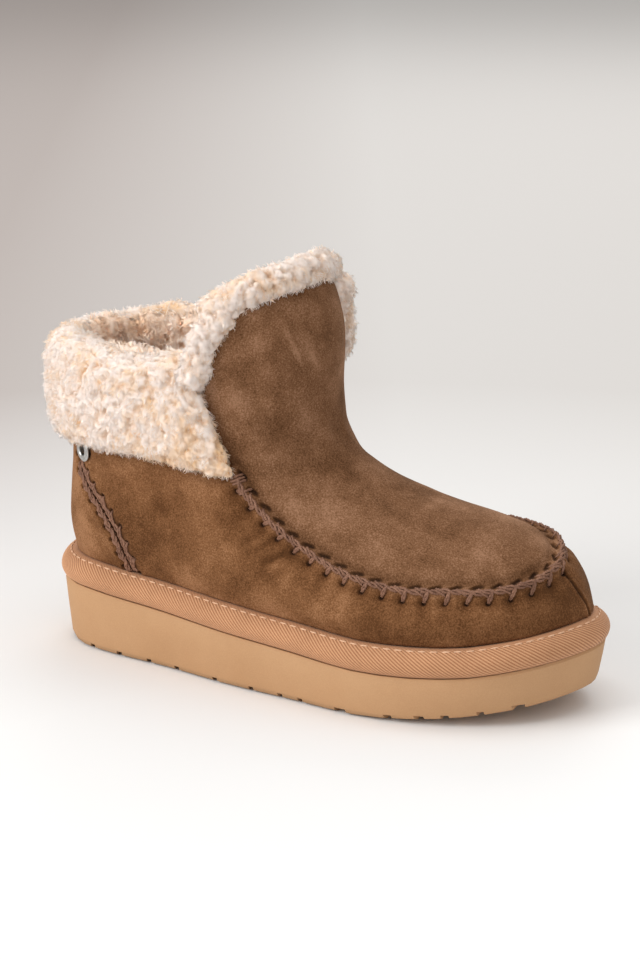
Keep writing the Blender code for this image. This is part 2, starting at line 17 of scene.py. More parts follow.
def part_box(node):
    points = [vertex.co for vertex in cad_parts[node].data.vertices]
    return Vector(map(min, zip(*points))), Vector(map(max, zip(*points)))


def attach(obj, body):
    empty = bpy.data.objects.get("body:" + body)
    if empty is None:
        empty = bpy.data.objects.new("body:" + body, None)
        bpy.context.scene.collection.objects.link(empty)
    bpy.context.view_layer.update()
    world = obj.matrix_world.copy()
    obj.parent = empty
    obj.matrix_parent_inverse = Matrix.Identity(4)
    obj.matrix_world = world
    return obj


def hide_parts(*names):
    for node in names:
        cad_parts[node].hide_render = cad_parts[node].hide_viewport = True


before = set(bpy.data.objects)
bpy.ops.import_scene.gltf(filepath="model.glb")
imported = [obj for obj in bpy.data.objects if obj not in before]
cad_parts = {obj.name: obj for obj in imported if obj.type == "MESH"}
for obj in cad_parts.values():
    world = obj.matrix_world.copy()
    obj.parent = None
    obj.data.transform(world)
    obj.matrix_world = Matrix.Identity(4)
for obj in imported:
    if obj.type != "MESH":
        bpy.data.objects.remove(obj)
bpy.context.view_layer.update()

MM = 0.001
for name in sorted(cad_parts):
    low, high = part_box(name)
    print(f"{name:10s} from {tuple(round(v / MM) for v in low)} to {tuple(round(v / MM) for v in high)} mm")

# %% [markdown]
# ## Camera, floor and lights
# The camera stands where the photographer stood: about 1.35 m away, 29 degrees round from the outer
# side towards the toe, and 16 degrees up. Its lens is long, so the boot keeps its real proportions.
# The floor is a wide pale sheet. Its colour holds painted shade: it turns greyer with the distance
# from the boot, and most on the left, as paper does under studio lamps. That could be done with
# lamps alone, but a painted colour is easier to steer.

# %% Camera
CAMERA_AT = Vector((632.6, -1135.5, 455.1)) * MM
LOOK_AT = Vector((1.0, 0.0, 88.0)) * MM
LENS = 113.0
SENSOR_WIDTH = 36.0
CLIP = (0.05, 50.0)


def add_object(name, data):
    """New object in the scene, for a mesh, a curve, a lamp or a camera."""
    made = bpy.data.objects.new(name, data)
    bpy.context.scene.collection.objects.link(made)
    return made


def aim(made, spot, target):
    """Put a camera or a lamp at a spot and turn its own -Z, where it looks, to a target."""
    made.location = spot
    made.rotation_euler = (Vector(target) - Vector(spot)).to_track_quat("-Z", "Y").to_euler()


camera_data = bpy.data.cameras.new("camera")
camera_data.lens = LENS
camera_data.sensor_width = SENSOR_WIDTH
camera_data.clip_start, camera_data.clip_end = CLIP
camera = add_object("camera", camera_data)
aim(camera, CAMERA_AT, LOOK_AT)
bpy.context.scene.camera = camera
print("camera stands", round((CAMERA_AT - LOOK_AT).length, 3), "m from the boot's middle")

# %% Floor
FLOOR_SIZE = 24.0

bpy.ops.mesh.primitive_plane_add(size=FLOOR_SIZE)
floor = bpy.context.object
floor.name = "floor"

# %% [markdown]
# ## Helpers for materials
# A look is a small graph of nodes around one Principled shader. The helpers below add a node, set
# its plain values by socket name and join links, so that each material stays readable.

# %% Node helpers
COLOUR_A, COLOUR_B, COLOUR_OUT = 6, 7, 2  # the Mix node's colour sockets, which share names with others


def add_node(tree, kind, inputs=None, **settings):
    """Add a node; an input is a value, or another node's output socket to link."""
    node = tree.nodes.new(kind)
    for key, value in settings.items():
        setattr(node, key, value)
    for key, value in (inputs or {}).items():
        socket = node.inputs[key]
        if isinstance(value, bpy.types.NodeSocket):
            tree.links.new(value, socket)
        else:
            socket.default_value = value
    return node


def start_look(name, **sockets):
    """New material, its nodes and its Principled shader, with plain values on the shader's sockets."""
    look = bpy.data.materials.new(name)
    look.use_nodes = True
    shader = look.node_tree.nodes["Principled BSDF"]
    for key, value in sockets.items():
        shader.inputs[key.replace("_", " ")].default_value = value
    return look, look.node_tree, shader


def place_in(tree):
    return add_node(tree, "ShaderNodeTexCoord").outputs["Object"]


def stored(tree, title):
    """A value stored on the mesh's points."""
    return add_node(tree, "ShaderNodeAttribute", attribute_name=title).outputs["Fac"]


def ramp(tree, share, stops):
    """Colour ramp from (place, colour) stops."""
    node = add_node(tree, "ShaderNodeValToRGB", {"Fac": share})
    band = node.color_ramp
    band.elements[0].position, band.elements[0].color = stops[0][0], (*stops[0][1], 1.0)
    band.elements[1].position, band.elements[1].color = stops[-1][0], (*stops[-1][1], 1.0)
    for place, colour in stops[1:-1]:
        band.elements.new(place).color = (*colour, 1.0)
    return node.outputs["Color"]


def mixed(tree, share, first, second, way="MIX"):
    """Mix two colours; the way MULTIPLY tints the first with the second."""
    node = add_node(tree, "ShaderNodeMix", {"Factor": share, COLOUR_A: first, COLOUR_B: second},
                    data_type="RGBA", blend_type=way)
    return node.outputs[COLOUR_OUT]


def mapped(tree, value, start, end, low=0.0, high=1.0):
    """Turn a value that goes from start to end into one from low to high."""
    return add_node(tree, "ShaderNodeMapRange", {"Value": value, "From Min": start, "From Max": end,
                                                 "To Min": low, "To Max": high}).outputs["Result"]


# %% Floor paper, pale near the boot, with painted shade that greys it behind the boot, most on the left
NEAR_FLOOR = (0.87, 0.87, 0.865)
SHADED_FAR_LEFT = (0.445, 0.400, 0.378)
SHADED_FAR_RIGHT = (0.62, 0.60, 0.58)
NEAR_MIDDLE = (0.10, -0.175, 0.0)
AWAY_SPAN = (0.18, 0.74)
LEFT_WAY = (-0.874, -0.486, 0.0)
LEFT_SPAN = (-0.05, 0.25)

floor_look, tree, shader = start_look("floor_paper_painted_shade", Roughness=0.9, Specular_IOR_Level=0.1)
spot = place_in(tree)
leftwards = add_node(tree, "ShaderNodeVectorMath", {0: spot, 1: LEFT_WAY}, operation="DOT_PRODUCT")
away = add_node(tree, "ShaderNodeVectorMath", {0: spot, 1: NEAR_MIDDLE}, operation="DISTANCE")
left_shade_share = mapped(tree, leftwards.outputs["Value"], *LEFT_SPAN)
# painted shade: the floor far from the boot greys towards these colours, most on the left
wall = ramp(tree, left_shade_share, ((0.0, SHADED_FAR_RIGHT), (1.0, SHADED_FAR_LEFT)))
paper = mixed(tree, mapped(tree, away.outputs["Value"], *AWAY_SPAN), (*NEAR_FLOOR, 1.0), wall)
tree.links.new(paper, shader.inputs["Base Color"])
floor.data.materials.append(floor_look)

# %% Lights: each has a name, a place in metres, a power in watts and a size in metres
LIGHTS = (
    ("key", (-1.5, -1.9, 1.25), 47.0, 1.6),
    ("front_fill", (1.6, -1.6, 1.0), 5.0, 1.6),
    ("top", (0.1, 0.2, 2.2), 15.0, 2.2),
    ("rim", (-0.6, 1.7, 1.2), 8.0, 1.2),
)
LIT_POINT = (0.0, 0.0, 0.05)
SKY = (1.0, 0.985, 0.97, 1.0)
SKY_STRENGTH = 0.62

for light_name, spot, power, size in LIGHTS:
    lamp = bpy.data.lights.new(light_name, "AREA")
    lamp.energy = power
    lamp.size = size
    aim(add_object(light_name, lamp), spot, LIT_POINT)
world = bpy.data.worlds.new("studio")
world.use_nodes = True
sky = world.node_tree.nodes["Background"].inputs
sky["Color"].default_value = SKY
sky["Strength"].default_value = SKY_STRENGTH
bpy.context.scene.world = world
bpy.context.scene.view_settings.view_transform = "Standard"

# %% [markdown]
# ## The suede upper
# The CAD upper is the right shape but faceted. A copy is merged, its triangles are joined back into
# quads, and two levels of subdivision make it smooth. Then the leather gets what a hand would see:
# the raised moccasin ridge with its puckers, the seams, and a few soft creases. These are troughs
# and ridges placed in the boot's own sizes, and every vertex moves along its own normal. Sculpting
# could do it too, but it can't be repeated from a script.


# %% Small helpers for objects and meshes
def only(piece):
    """Select one object alone and make it active."""
    bpy.ops.object.select_all(action="DESELECT")
    piece.select_set(True)
    bpy.context.view_layer.objects.active = piece


def edit(piece, choice="DESELECT"):
    """Open a piece in edit mode with nothing, or with choice SELECT everything, selected."""
    only(piece)
    bpy.ops.object.mode_set(mode="EDIT")
    bpy.ops.mesh.select_all(action=choice)


def leave():
    bpy.ops.object.mode_set(mode="OBJECT")


def edit_faces(piece, chosen):
    """Open a piece in edit mode with the chosen faces selected."""
    edit(piece)
    leave()
    piece.data.polygons.foreach_set("select", chosen)
    bpy.ops.object.mode_set(mode="EDIT")
    bpy.ops.mesh.select_mode(type="FACE")


def face_outwards(piece):
    edit(piece, "SELECT")
    bpy.ops.mesh.normals_make_consistent(inside=False)
    leave()


def apply_all(piece):
    """Apply a piece's modifiers in order."""
    only(piece)
    for modifier in list(piece.modifiers):
        bpy.ops.object.modifier_apply(modifier=modifier.name)


def points_of(piece):
    points = np.empty(len(piece.data.vertices) * 3)
    piece.data.vertices.foreach_get("co", points)
    return points.reshape(-1, 3)


def normals_of(piece):
    normals = np.empty(len(piece.data.vertices) * 3, np.float32)
    piece.data.vertex_normals.foreach_get("vector", normals)
    return normals.reshape(-1, 3).astype(float)


def set_points(piece, points):
    piece.data.vertices.foreach_set("co", np.asarray(points, np.float32).ravel())
    piece.data.update()


def paint(mesh, **layers):
    """Store named values on a mesh's points, where a material can read them."""
    for title, values in layers.items():
        layer = mesh.attributes.new(title, "FLOAT", "POINT")
        layer.data.foreach_set("value", np.asarray(values, np.float32).ravel())


def triangles_in(piece):
    return sum(len(face.vertices) - 2 for face in piece.data.polygons)


def finish(piece, looks, stands_for=()):
    """Give a piece its looks, let it ride on the boot and hide the CAD parts that it stands for."""
    for index, look in enumerate(looks):
        if index < len(piece.data.materials):
            piece.data.materials[index] = look
        else:
            piece.data.materials.append(look)
    piece.data.shade_smooth()
    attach(piece, "root")
    if stands_for:
        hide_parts(*stands_for)
    print(f"{piece.name}: {triangles_in(piece)} triangles")


# %% Copy a CAD node as a smooth quad mesh
MERGE = 0.02 * MM
QUAD_BEND = radians(50)
QUAD_SKEW = radians(60)


def copy_node(node, name, levels, mark=None):
    """Own copy of a CAD node: merged, joined into quads, marked, subdivided."""
    piece = add_object(name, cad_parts[node].data.copy())
    edit(piece, "SELECT")
    bpy.ops.mesh.customdata_custom_splitnormals_clear()
    bpy.ops.mesh.remove_doubles(threshold=MERGE)
    bpy.ops.mesh.tris_convert_to_quads(face_threshold=QUAD_BEND, shape_threshold=QUAD_SKEW)
    leave()
    if mark:
        mark(piece)
    if levels:
        smooth = piece.modifiers.new("smooth", "SUBSURF")
        smooth.levels = levels
        smooth.render_levels = levels
        apply_all(piece)
    print(f"{name}: {len(piece.data.vertices)} points after {levels} levels")
    return piece


# %% Tell the lining from the leather, then thin the lining low down, where nobody sees it
LINING = 1
LINING_LOW = 92 * MM
LOW_LINING_KEPT = 0.4
SHAFT_X = -62.0
SHAFT_FOOT = 95.0
FOOT_ENDS = (-95.0, 95.0)
FOOT_MIDDLE = 55.0
COLLAR_EDGE = 130.0
EDGE_SLOPE = 0.6


def mark_lining(piece):
    """Give the inner wall and the collar's edge the second material slot.

    Inner faces look at the middle of the boot, and the edge's faces look up.
    """
    piece.data.materials.append(piece.data.materials[0])
    for face in piece.data.polygons:
        x, y, z = face.center / MM
        in_shaft = z > SHAFT_FOOT
        middle = Vector((SHAFT_X, 0.0, z) if in_shaft else (np.clip(x, *FOOT_ENDS), 0.0, FOOT_MIDDLE))
        looks_in = face.normal.dot(middle * MM - face.center) > 0
        on_edge = z > COLLAR_EDGE and face.normal.z > EDGE_SLOPE
        face.material_index = LINING if looks_in or on_edge else 0


def thin(piece, chosen, keep):
    """Keep about this share of the chosen faces, where the shape loses least."""
    edit_faces(piece, chosen)
    bpy.ops.mesh.decimate(ratio=keep)
    leave()


def split_faces(piece, chosen, cuts=1):
    """Subdivide the chosen faces where they lie."""
    edit_faces(piece, chosen)
    bpy.ops.mesh.subdivide(number_cuts=cuts)
    leave()
    print(f"{piece.name}: {chosen.sum()} faces made finer, now {triangles_in(piece)} triangles")


def lining_between(piece, low, high):
    """Faces of the inner wall between two heights."""
    return np.array([face.material_index == LINING and low < face.center.z < high
                     for face in piece.data.polygons])


upper = copy_node("upper", "upper_leather", 2, mark_lining)
thin(upper, lining_between(upper, 0, LINING_LOW), LOW_LINING_KEPT)
print(f"{upper.name}: {triangles_in(upper)} triangles with a thinner lining low down")

# %% [markdown]
# ## Paths on the leather
# A seam is a line on the surface. It is given by a short table of points along the boot, chosen on
# the seam in the photograph and on the leather behind it. They are drawn as a smooth curve, and each
# sample drops to the nearest place on the leather. A path knows its length so far, its direction,
# the leather's outward normal, and the direction across it.

# %% Smooth lines
SPAN_STEPS = 24
TINY = 1e-12


def nearest_tree(piece):
    return BVHTree.FromPolygons([v.co for v in piece.data.vertices],
                                [p.vertices for p in piece.data.polygons])


def run_along(points):
    """Length so far at each point of a line."""
    return np.r_[0, np.cumsum(np.linalg.norm(np.diff(points, axis=0), axis=1))]


def smooth_line(points, spacing):
    """Points at even spacing on a smooth curve through the given ones, in metres."""
    points = np.asarray(points, float)
    padded = np.vstack([2 * points[0] - points[1], points, 2 * points[-1] - points[-2]])
    dense = []
    for before, start, end, after in zip(padded, padded[1:], padded[2:], padded[3:]):
        t = np.linspace(0, 1, SPAN_STEPS, endpoint=False)[:, None]
        dense.append(0.5 * (2 * start + (end - before) * t
                            + (2 * before - 5 * start + 4 * end - after) * t ** 2
                            + (3 * start - before - 3 * end + after) * t ** 3))
    dense = np.vstack(dense + [points[-1:]])
    run = run_along(dense)
    at = np.linspace(0, run[-1], max(2, round(run[-1] / spacing) + 1))
    return np.stack([np.interp(at, run, column) for column in dense.T], -1)


def smooth_rows(rows, width):
    """Moving average along a line, with its ends kept in place."""
    kernel = np.ones(width) / width
    half = width // 2
    padded = np.vstack([np.repeat(rows[:1], half, 0), rows, np.repeat(rows[-1:], half, 0)])
    return np.stack([np.convolve(column, kernel, "valid") for column in padded.T], -1)


def unit(vectors):
    return vectors / np.maximum(np.linalg.norm(vectors, axis=-1, keepdims=True), TINY)


# %% Paths and the frame along them
FAR_AWAY = 1.0
POINTS_AT_ONCE = 2000
EVEN_POINTS = 5
EVEN_NORMALS = 15


class Path:
    """A line laid on a surface, with its direction, outward normal and sideways direction."""

    def __init__(self, points_mm, tree, spacing=0.5 * MM):
        line = smooth_line(np.asarray(points_mm, float) * MM, spacing)
        hits = [tree.find_nearest(Vector(p)) for p in line]
        self.points = smooth_rows(np.array([h[0] for h in hits], float), EVEN_POINTS)
        self.out = unit(smooth_rows(np.array([h[1] for h in hits], float), EVEN_NORMALS))
        self.ahead = unit(np.gradient(self.points, axis=0))
        self.across = unit(np.cross(self.out, self.ahead))
        self.run = run_along(self.points)
        self.length = self.run[-1]

    def at(self, run, sideways=0.0, up=0.0):
        """Points at a length along the path, moved sideways and up, all in metres."""
        run = np.asarray(run, float)
        spot, across, out = (np.stack([np.interp(run, self.run, column) for column in rows.T], -1)
                             for rows in (self.points, self.across, self.out))
        return spot + across * np.asarray(sideways)[..., None] + out * np.asarray(up)[..., None]

    def measure(self, points, reach):
        """Length along the path, distance across it and a flag for the points within reach."""
        along = np.zeros(len(points))
        aside = np.full(len(points), FAR_AWAY)
        low, high = self.points.min(0) - reach, self.points.max(0) + reach
        near = np.flatnonzero(((points > low) & (points < high)).all(1))
        for part in np.array_split(near, max(1, len(near) // POINTS_AT_ONCE)):
            gap = points[part][:, None, :] - self.points[None]
            index = (gap ** 2).sum(2).argmin(1)
            gap = points[part] - self.points[index]
            along[part] = self.run[index] + (gap * self.ahead[index]).sum(1)
            side = (gap * self.across[index]).sum(1)
            aside[part] = np.copysign(np.linalg.norm(gap, axis=1), side)
        return along, aside, np.abs(aside) < reach


# %% The moccasin seam, the heel seams and the toe seam
APRON_SEAM = (
    (-21.5, -37.9, 98.1), (-16.7, -38.2, 91.4), (-10.2, -38.6, 84.9), (-2.7, -39.1, 79.0),
    (4.8, -39.8, 73.9), (13.1, -40.5, 69.6), (29.9, -42.3, 63.2), (47.6, -43.1, 58.8),
    (69.4, -40.0, 57.0), (93.3, -32.0, 58.1), (103.7, -26.6, 59.0), (114.1, -16.1, 61.7),
    (118.7, -2.1, 65.6), (117.2, 6.0, 68.5), (113.5, 12.5, 70.5), (103.0, 23.5, 71.5),
    (85.0, 31.5, 72.0), (60.0, 37.0, 70.5), (30.0, 38.5, 71.0), (8.0, 37.5, 75.0),
    (-6.0, 36.5, 87.0), (-13.0, 36.0, 99.0),
)
HEEL_SEAM = (
    (-109.5, -28.1, 89.5), (-106.6, -29.3, 84.5), (-102.2, -31.3, 78.6), (-96.0, -33.2, 72.8),
    (-91.0, -34.2, 67.0), (-86.2, -35.0, 60.4), (-82.9, -34.8, 53.2), (-80.3, -33.6, 46.6),
    (-78.8, -32.0, 41.5),
)
TOE_SEAM = (
    (120.4, 1.0, 64.8), (122.5, 0.7, 62.4), (125.7, 2.0, 57.3), (127.8, 4.2, 52.6),
    (129.7, 7.0, 47.6), (130.3, 8.0, 42.0),
)

leather_tree = nearest_tree(upper)
apron_seam = Path(APRON_SEAM, leather_tree)
heel_seams = [Path([(x, side * y, z) for x, y, z in HEEL_SEAM], leather_tree) for side in (1, -1)]
toe_seam = Path(TOE_SEAM, leather_tree)
for title, path in (("moccasin", apron_seam), ("heel", heel_seams[0]), ("toe", toe_seam)):
    print(f"{title} seam: {path.length / MM:.0f} mm long")

# %% Finer mesh along the seams and on the lining's upper part
SEAM_REACH = 6.8 * MM
TOE_REACH = 4 * MM
SEAM_CUTS = 2
LINING_FINE = 104 * MM


def refine(piece, paths, reach):
    """Subdivide the outer faces that lie near the paths."""
    centres = np.array([face.center for face in piece.data.polygons])
    near = np.any([path.measure(centres, reach)[2] for path in paths], axis=0)
    near &= np.array([face.material_index != LINING for face in piece.data.polygons])
    split_faces(piece, near, SEAM_CUTS)


refine(upper, [apron_seam, *heel_seams], SEAM_REACH)
refine(upper, [toe_seam], TOE_REACH)
split_faces(upper, lining_between(upper, LINING_FINE, 1.0))

# %% Soft shapes: shares, bumps, waves and cushions
CUSHION = 0.8
WAVE_SHIFT = (7.3, 3.1, 5.7)
TUFT_SIZE = 4.3
CURL_SIZE = 1.9
TUFT_DRIFT = 1.2
DRIFT_SIZE = 6.0


def share_of(values, start, end):
    """How far values have gone from start to end, from 0 to 1."""
    return np.clip((values - start) / (end - start), 0, 1)


def bump(distance, width):
    return np.exp(-(distance / width) ** 2)


def strips(aside, rows):
    """Sum of soft strips along a seam; a row has height, place aside and width."""
    return sum(height * bump(aside - place, width) for height, place, width in rows)


def waves(points, size_mm, seed):
    """Smooth random waves about a size, from -1 to 1, one value for each point."""
    shift = Vector([seed * step for step in WAVE_SHIFT])
    return np.array([noise.noise(Vector(p) / (size_mm * MM) + shift) for p in points])


def layered(points, rows):
    """Sum of waves; a row has height, size in millimetres and seed."""
    return sum(height * waves(points, size, seed) for height, size, seed in rows)


def drifting(points, size_mm, seed):
    """A random vector for each point, much the same for neighbours."""
    return np.stack([waves(points, size_mm, seed + k) for k in range(3)], -1)


def clumps(points, size_mm):
    """Round cushions side by side, as curls stand in a fleece: 1 on top, 0 in the gaps."""
    near = np.array([noise.voronoi(Vector(p) / (size_mm * MM))[0][0] for p in points])
    return np.sqrt(np.clip(1 - (near / CUSHION) ** 2, 0, 1))


def tufts(points, seed):
    """Heads of large tufts and of the small curls on them."""
    drift = drifting(points, DRIFT_SIZE, seed) * TUFT_DRIFT * MM
    return clumps(points + drift, TUFT_SIZE), clumps(points + drift * 0.5, CURL_SIZE)


# %% The leather before it is shaped: swells, and a mottled tone
SWELLS = ((0.35, 22.0, 1), (0.12, 7.0, 2))
MOTTLES = ((0.14, 30.0, 3), (0.07, 11.0, 5), (0.05, 5.0, 6))

leather, outwards = points_of(upper), normals_of(upper)
x, y, z = leather.T / MM
inner = np.zeros(len(leather), bool)
for face in upper.data.polygons:
    if face.material_index == LINING:
        inner[list(face.vertices)] = True
lift = layered(leather, SWELLS)
# the tone starts as the leather's own mottles; seams and creases below add painted shade and painted
# highlights to it
tone = layered(leather, MOTTLES)

# %% The moccasin seam: ridge, slots above it, holes below it, and puckers that run down from it
# Strips and tones have a height, a place aside and a width; plus is on the apron's side of the seam.
# Marks have a width, a strength, a sharpness and a threshold. Lengths are in millimetres.
STITCH_PITCH = 9.15 * MM
FIRST_HOLE = 7.5 * MM
HOLE_ASIDE = (3.6, 4.3)
HOLE_ASIDE_RUN = (0.0, 110.0)
SLOT_ASIDE = 2.6
SLOT_SLANT = 0.5
SEAM_AREA = 30 * MM
RIDGE_HEIGHT = 1.9
RIDGE_WIDTH = 2.0
RIDGE_PINCH = 0.22
TROUGHS = ((0.9, 4.8, 1.8), (0.5, -5.5, 2.6))
SLOT_MARK = (1.1, 2.0, 0.6, 0.5)
HOLE_MARK = (1.1, 1.7, 6, 0.3)
MARK_DEPTH = 1.3
PUCKER_DEPTH = 0.8
PUCKER_START = -2.0
PUCKER_LENGTH = 6.0
# painted shade: the troughs beside the ridge, the slots, the holes and the puckers are darkened; the first
# strip lightens the ridge's top
SEAM_TONES_AND_SHADE = ((0.15, 0.0, 1.8), (-0.12, 4.3, 1.6), (-0.12, -4.6, 2.0))
SLOT_SHADE = -0.75
HOLE_SHADE = -0.85
PUCKER_SHADE = -0.16


def hole_aside(run):
    """How far below the seam its holes stand, in millimetres: closer near its start."""
    return np.interp(run / MM, HOLE_ASIDE_RUN, HOLE_ASIDE)


def marks(aside, beat, width, strength, sharpness, threshold):
    """Marks punched along a seam where beat is 1, with clear edges."""
    return np.clip(strength * bump(aside, width) * beat ** sharpness - threshold, 0, 1)


run, aside, near = apron_seam.measure(leather, SEAM_AREA)
low_aside = hole_aside(run)
turns = 2 * pi * ((run - FIRST_HOLE) / STITCH_PITCH)
aside = aside / MM
pinch = 0.5 + 0.5 * np.cos(turns)
ridge = RIDGE_HEIGHT * bump(aside, RIDGE_WIDTH) * (1 - RIDGE_PINCH * pinch)
slot = marks(aside - SLOT_ASIDE + SLOT_SLANT * np.sin(turns), 1 - pinch, *SLOT_MARK)
hole = marks(aside + low_aside, pinch, *HOLE_MARK)
fall = np.exp((aside - PUCKER_START) / PUCKER_LENGTH)
pucker = np.where(aside < PUCKER_START, np.cos(turns) * fall, 0.0)
seam_lift = ridge - strips(aside, TROUGHS) - MARK_DEPTH * slot - MARK_DEPTH * hole - PUCKER_DEPTH * pucker
# painted shade in the troughs, slots, holes and puckers, and a lighter ridge top
seam_tone = strips(aside, SEAM_TONES_AND_SHADE) + SLOT_SHADE * slot + HOLE_SHADE * hole + PUCKER_SHADE * pucker
lift += np.where(near, seam_lift, 0.0)
tone += np.where(near, seam_tone, 0.0)

# %% Rusty quarters, with painted shade that darkens them more towards the toe, and painted light that makes the heel paler
WHOLE_BOOT = 200 * MM
BACK_X = -45.0
RUST_ASIDE = (3.0, -3.0)
RUST_HEIGHT = (105.0, 90.0)
RUST_TONE = 0.04
TOE_SHADE_SPAN = (10.0, 60.0)
TOE_PAINTED_SHADE = 0.11
HEEL_LIGHT_SPAN = (-85.0, -110.0)
HEEL_PAINTED_LIGHT = 0.10

below = apron_seam.measure(leather, WHOLE_BOOT)[1] / MM
rust = np.where(x < BACK_X, 1.0, share_of(below, *RUST_ASIDE) * share_of(z, *RUST_HEIGHT))
# painted shade: the quarters darken more towards the toe; painted light: the heel is paler
tone -= rust * (RUST_TONE + TOE_PAINTED_SHADE * share_of(x, *TOE_SHADE_SPAN))
tone += HEEL_PAINTED_LIGHT * share_of(x, *HEEL_LIGHT_SPAN)

# %% Heel and toe seams, with painted shade in their holes and grooves
HEEL_PITCH = 7.5 * MM
FIRST_HEEL_HOLE = 7.0 * MM
HEEL_ASIDE = 4.5
HEEL_AREA = 9 * MM
HEEL_MARK = (1.0, 1.7, 4, 0.3)
HEEL_STRIPS = ((0.5, HEEL_ASIDE + 1.9, 1.6), (-0.7, 0.0, 2.4))
HEEL_MARK_DEPTH = 1.2
# painted shade: dark holes and a dark band along each heel seam's middle; on the toe seam a dark groove,
# with a lighter lip beside it
HEEL_HOLE_SHADE = -1.1
HEEL_SEAM_SHADE = ((-0.7, 0.0, 3.4),)
TOE_AREA = 6 * MM
TOE_STRIPS = ((0.45, 1.5, 0.8), (-0.8, 0.0, 0.55))
TOE_SHADE_AND_LIP = ((0.1, 1.6, 0.7), (-0.7, 0.0, 0.6))

for heel_seam in heel_seams:
    run, aside, near = heel_seam.measure(leather, HEEL_AREA)
    run = (run - FIRST_HEEL_HOLE) / HEEL_PITCH
    beat = 0.5 + 0.5 * np.cos(2 * pi * (run - 0.5 * (aside < 0)))
    aside = np.abs(aside) / MM
    side_hole = marks(aside - HEEL_ASIDE, beat, *HEEL_MARK)
    lift += np.where(near, strips(aside, HEEL_STRIPS) - HEEL_MARK_DEPTH * side_hole, 0.0)
    tone += np.where(near, strips(aside, HEEL_SEAM_SHADE) + HEEL_HOLE_SHADE * side_hole, 0.0)

run, aside, near = toe_seam.measure(leather, TOE_AREA)
aside = np.abs(aside) / MM
lift += np.where(near, strips(aside, TOE_STRIPS), 0.0)
tone += np.where(near, strips(aside, TOE_SHADE_AND_LIP), 0.0)

# %% Creases: each has a start, an end, a width and a height in millimetres, and a tone, which is painted shade where a crease sinks and a painted highlight where it rises
CREASES = (
    ((-4.0, -25.5, 165.0), (3.5, -16.5, 140.5), 1.2, 0.4, 0.26),
    ((1.5, -14.0, 152.0), (5.5, -9.5, 141.9), 1.3, 0.3, 0.18),
    ((-14.0, -35.0, 118.0), (11.0, -8.0, 108.0), 6.0, -1.3, -0.12),
    ((-8.0, -37.0, 100.0), (20.0, -10.0, 99.0), 5.0, -0.9, -0.12),
    ((-16.0, 36.0, 118.0), (11.0, 8.0, 108.0), 6.0, -1.3, -0.12),
    ((-8.0, 37.0, 100.0), (20.0, 12.0, 99.0), 5.0, -0.9, -0.12),
    ((10.0, -6.0, 112.0), (10.0, 8.0, 112.0), 6.0, -0.8, -0.12),
    ((-28.0, -39.0, 135.0), (-12.0, -37.0, 122.0), 5.0, 0.7, 0.12),
    ((-22.0, -38.0, 150.0), (-8.0, -33.0, 126.0), 6.0, -0.7, -0.12),
    ((9.5, -41.9, 67.5), (-4.5, -45.6, 59.5), 1.4, -1.4, -0.32),
    ((10.0, -42.4, 64.0), (-1.0, -45.6, 56.5), 2.0, 0.9, 0.14),
    ((2.0, -41.0, 72.5), (-11.0, -45.2, 62.5), 1.3, -1.1, -0.24),
    ((-2.0, -41.0, 75.5), (-15.0, -44.5, 67.1), 1.3, -0.8, -0.16),
    ((-70.0, -36.0, 84.0), (-40.0, -39.0, 78.0), 9.0, -0.8, -0.10),
    ((-66.0, 37.0, 84.0), (-38.0, 39.0, 76.0), 9.0, -0.8, -0.10),
    ((-2.0, 39.0, 74.0), (-18.0, 41.0, 58.0), 2.5, -1.0, -0.25),
    ((8.0, 41.0, 68.0), (-6.0, 42.0, 52.0), 2.5, -0.9, -0.25),
    ((40.0, -20.0, 84.0), (52.0, 18.0, 83.0), 8.0, -0.6, -0.10),
    ((66.0, -24.0, 73.0), (76.0, 14.0, 79.0), 8.0, -0.5, -0.10),
)
CREASE_SPACING = 1.0 * MM
CREASE_AREA = 3
CREASE_END = 0.25

for start, end, width, height, shade in CREASES:
    line = Path((start, (np.add(start, end) / 2), end), leather_tree, CREASE_SPACING)
    run, aside, near = line.measure(leather, CREASE_AREA * width * MM)
    share = run / line.length
    fade = share_of(share, 0, CREASE_END) * share_of(share, 1, 1 - CREASE_END)
    fold = np.where(near, bump(aside / MM, width) * fade, 0.0)
    lift += height * fold
    # painted shade in sunk creases, painted highlight on raised ones
    tone += shade * fold

# %% The lining's pile, thickest near the collar, and the far collar's small rise
TUFT_HEIGHT = 2.3
CURL_HEIGHT = 0.8
LINING_SWELL = (0.6, 8.0, 4)
LINING_RISE = (105.0, 132.0)
LINING_THICK = 4.8
LOW_LUMPS = 0.3
FULL_WALL = 4 * MM
COLLAR_RISE = 2.6
COLLAR_SPAN = (130.0, 138.0)
FAR_SPAN = (-5.0, 5.0)
LINING_WARM_SHADE = 0.6

outer_points = KDTree(int((~inner).sum()))
for index, spot in enumerate(leather[~inner]):
    outer_points.insert(spot, index)
outer_points.balance()
lining = leather[inner]
wall = np.array([outer_points.find(Vector(p))[2] for p in lining])
rise = share_of(lining[:, 2] / MM, *LINING_RISE)
heads, curls = tufts(lining, 4)
lumps = TUFT_HEIGHT * heads + CURL_HEIGHT * curls + layered(lining, [LINING_SWELL])
grown = LOW_LUMPS * lumps + rise * ((1 - LOW_LUMPS) * lumps + LINING_THICK)
lift[inner] = np.clip(wall / FULL_WALL, 0, 1) * grown
tips = np.zeros(len(leather))
# painted shade: the lining's tip values are low in the hollows between its tufts
tips[inner] = 0.6 * heads + 0.3 * curls

shaped = leather + outwards * (lift * MM)[:, None]
far_side = inner * (x < BACK_X) * share_of(y, *FAR_SPAN)
shaped[:, 2] += COLLAR_RISE * MM * far_side * share_of(z, *COLLAR_SPAN)
set_points(upper, shaped)
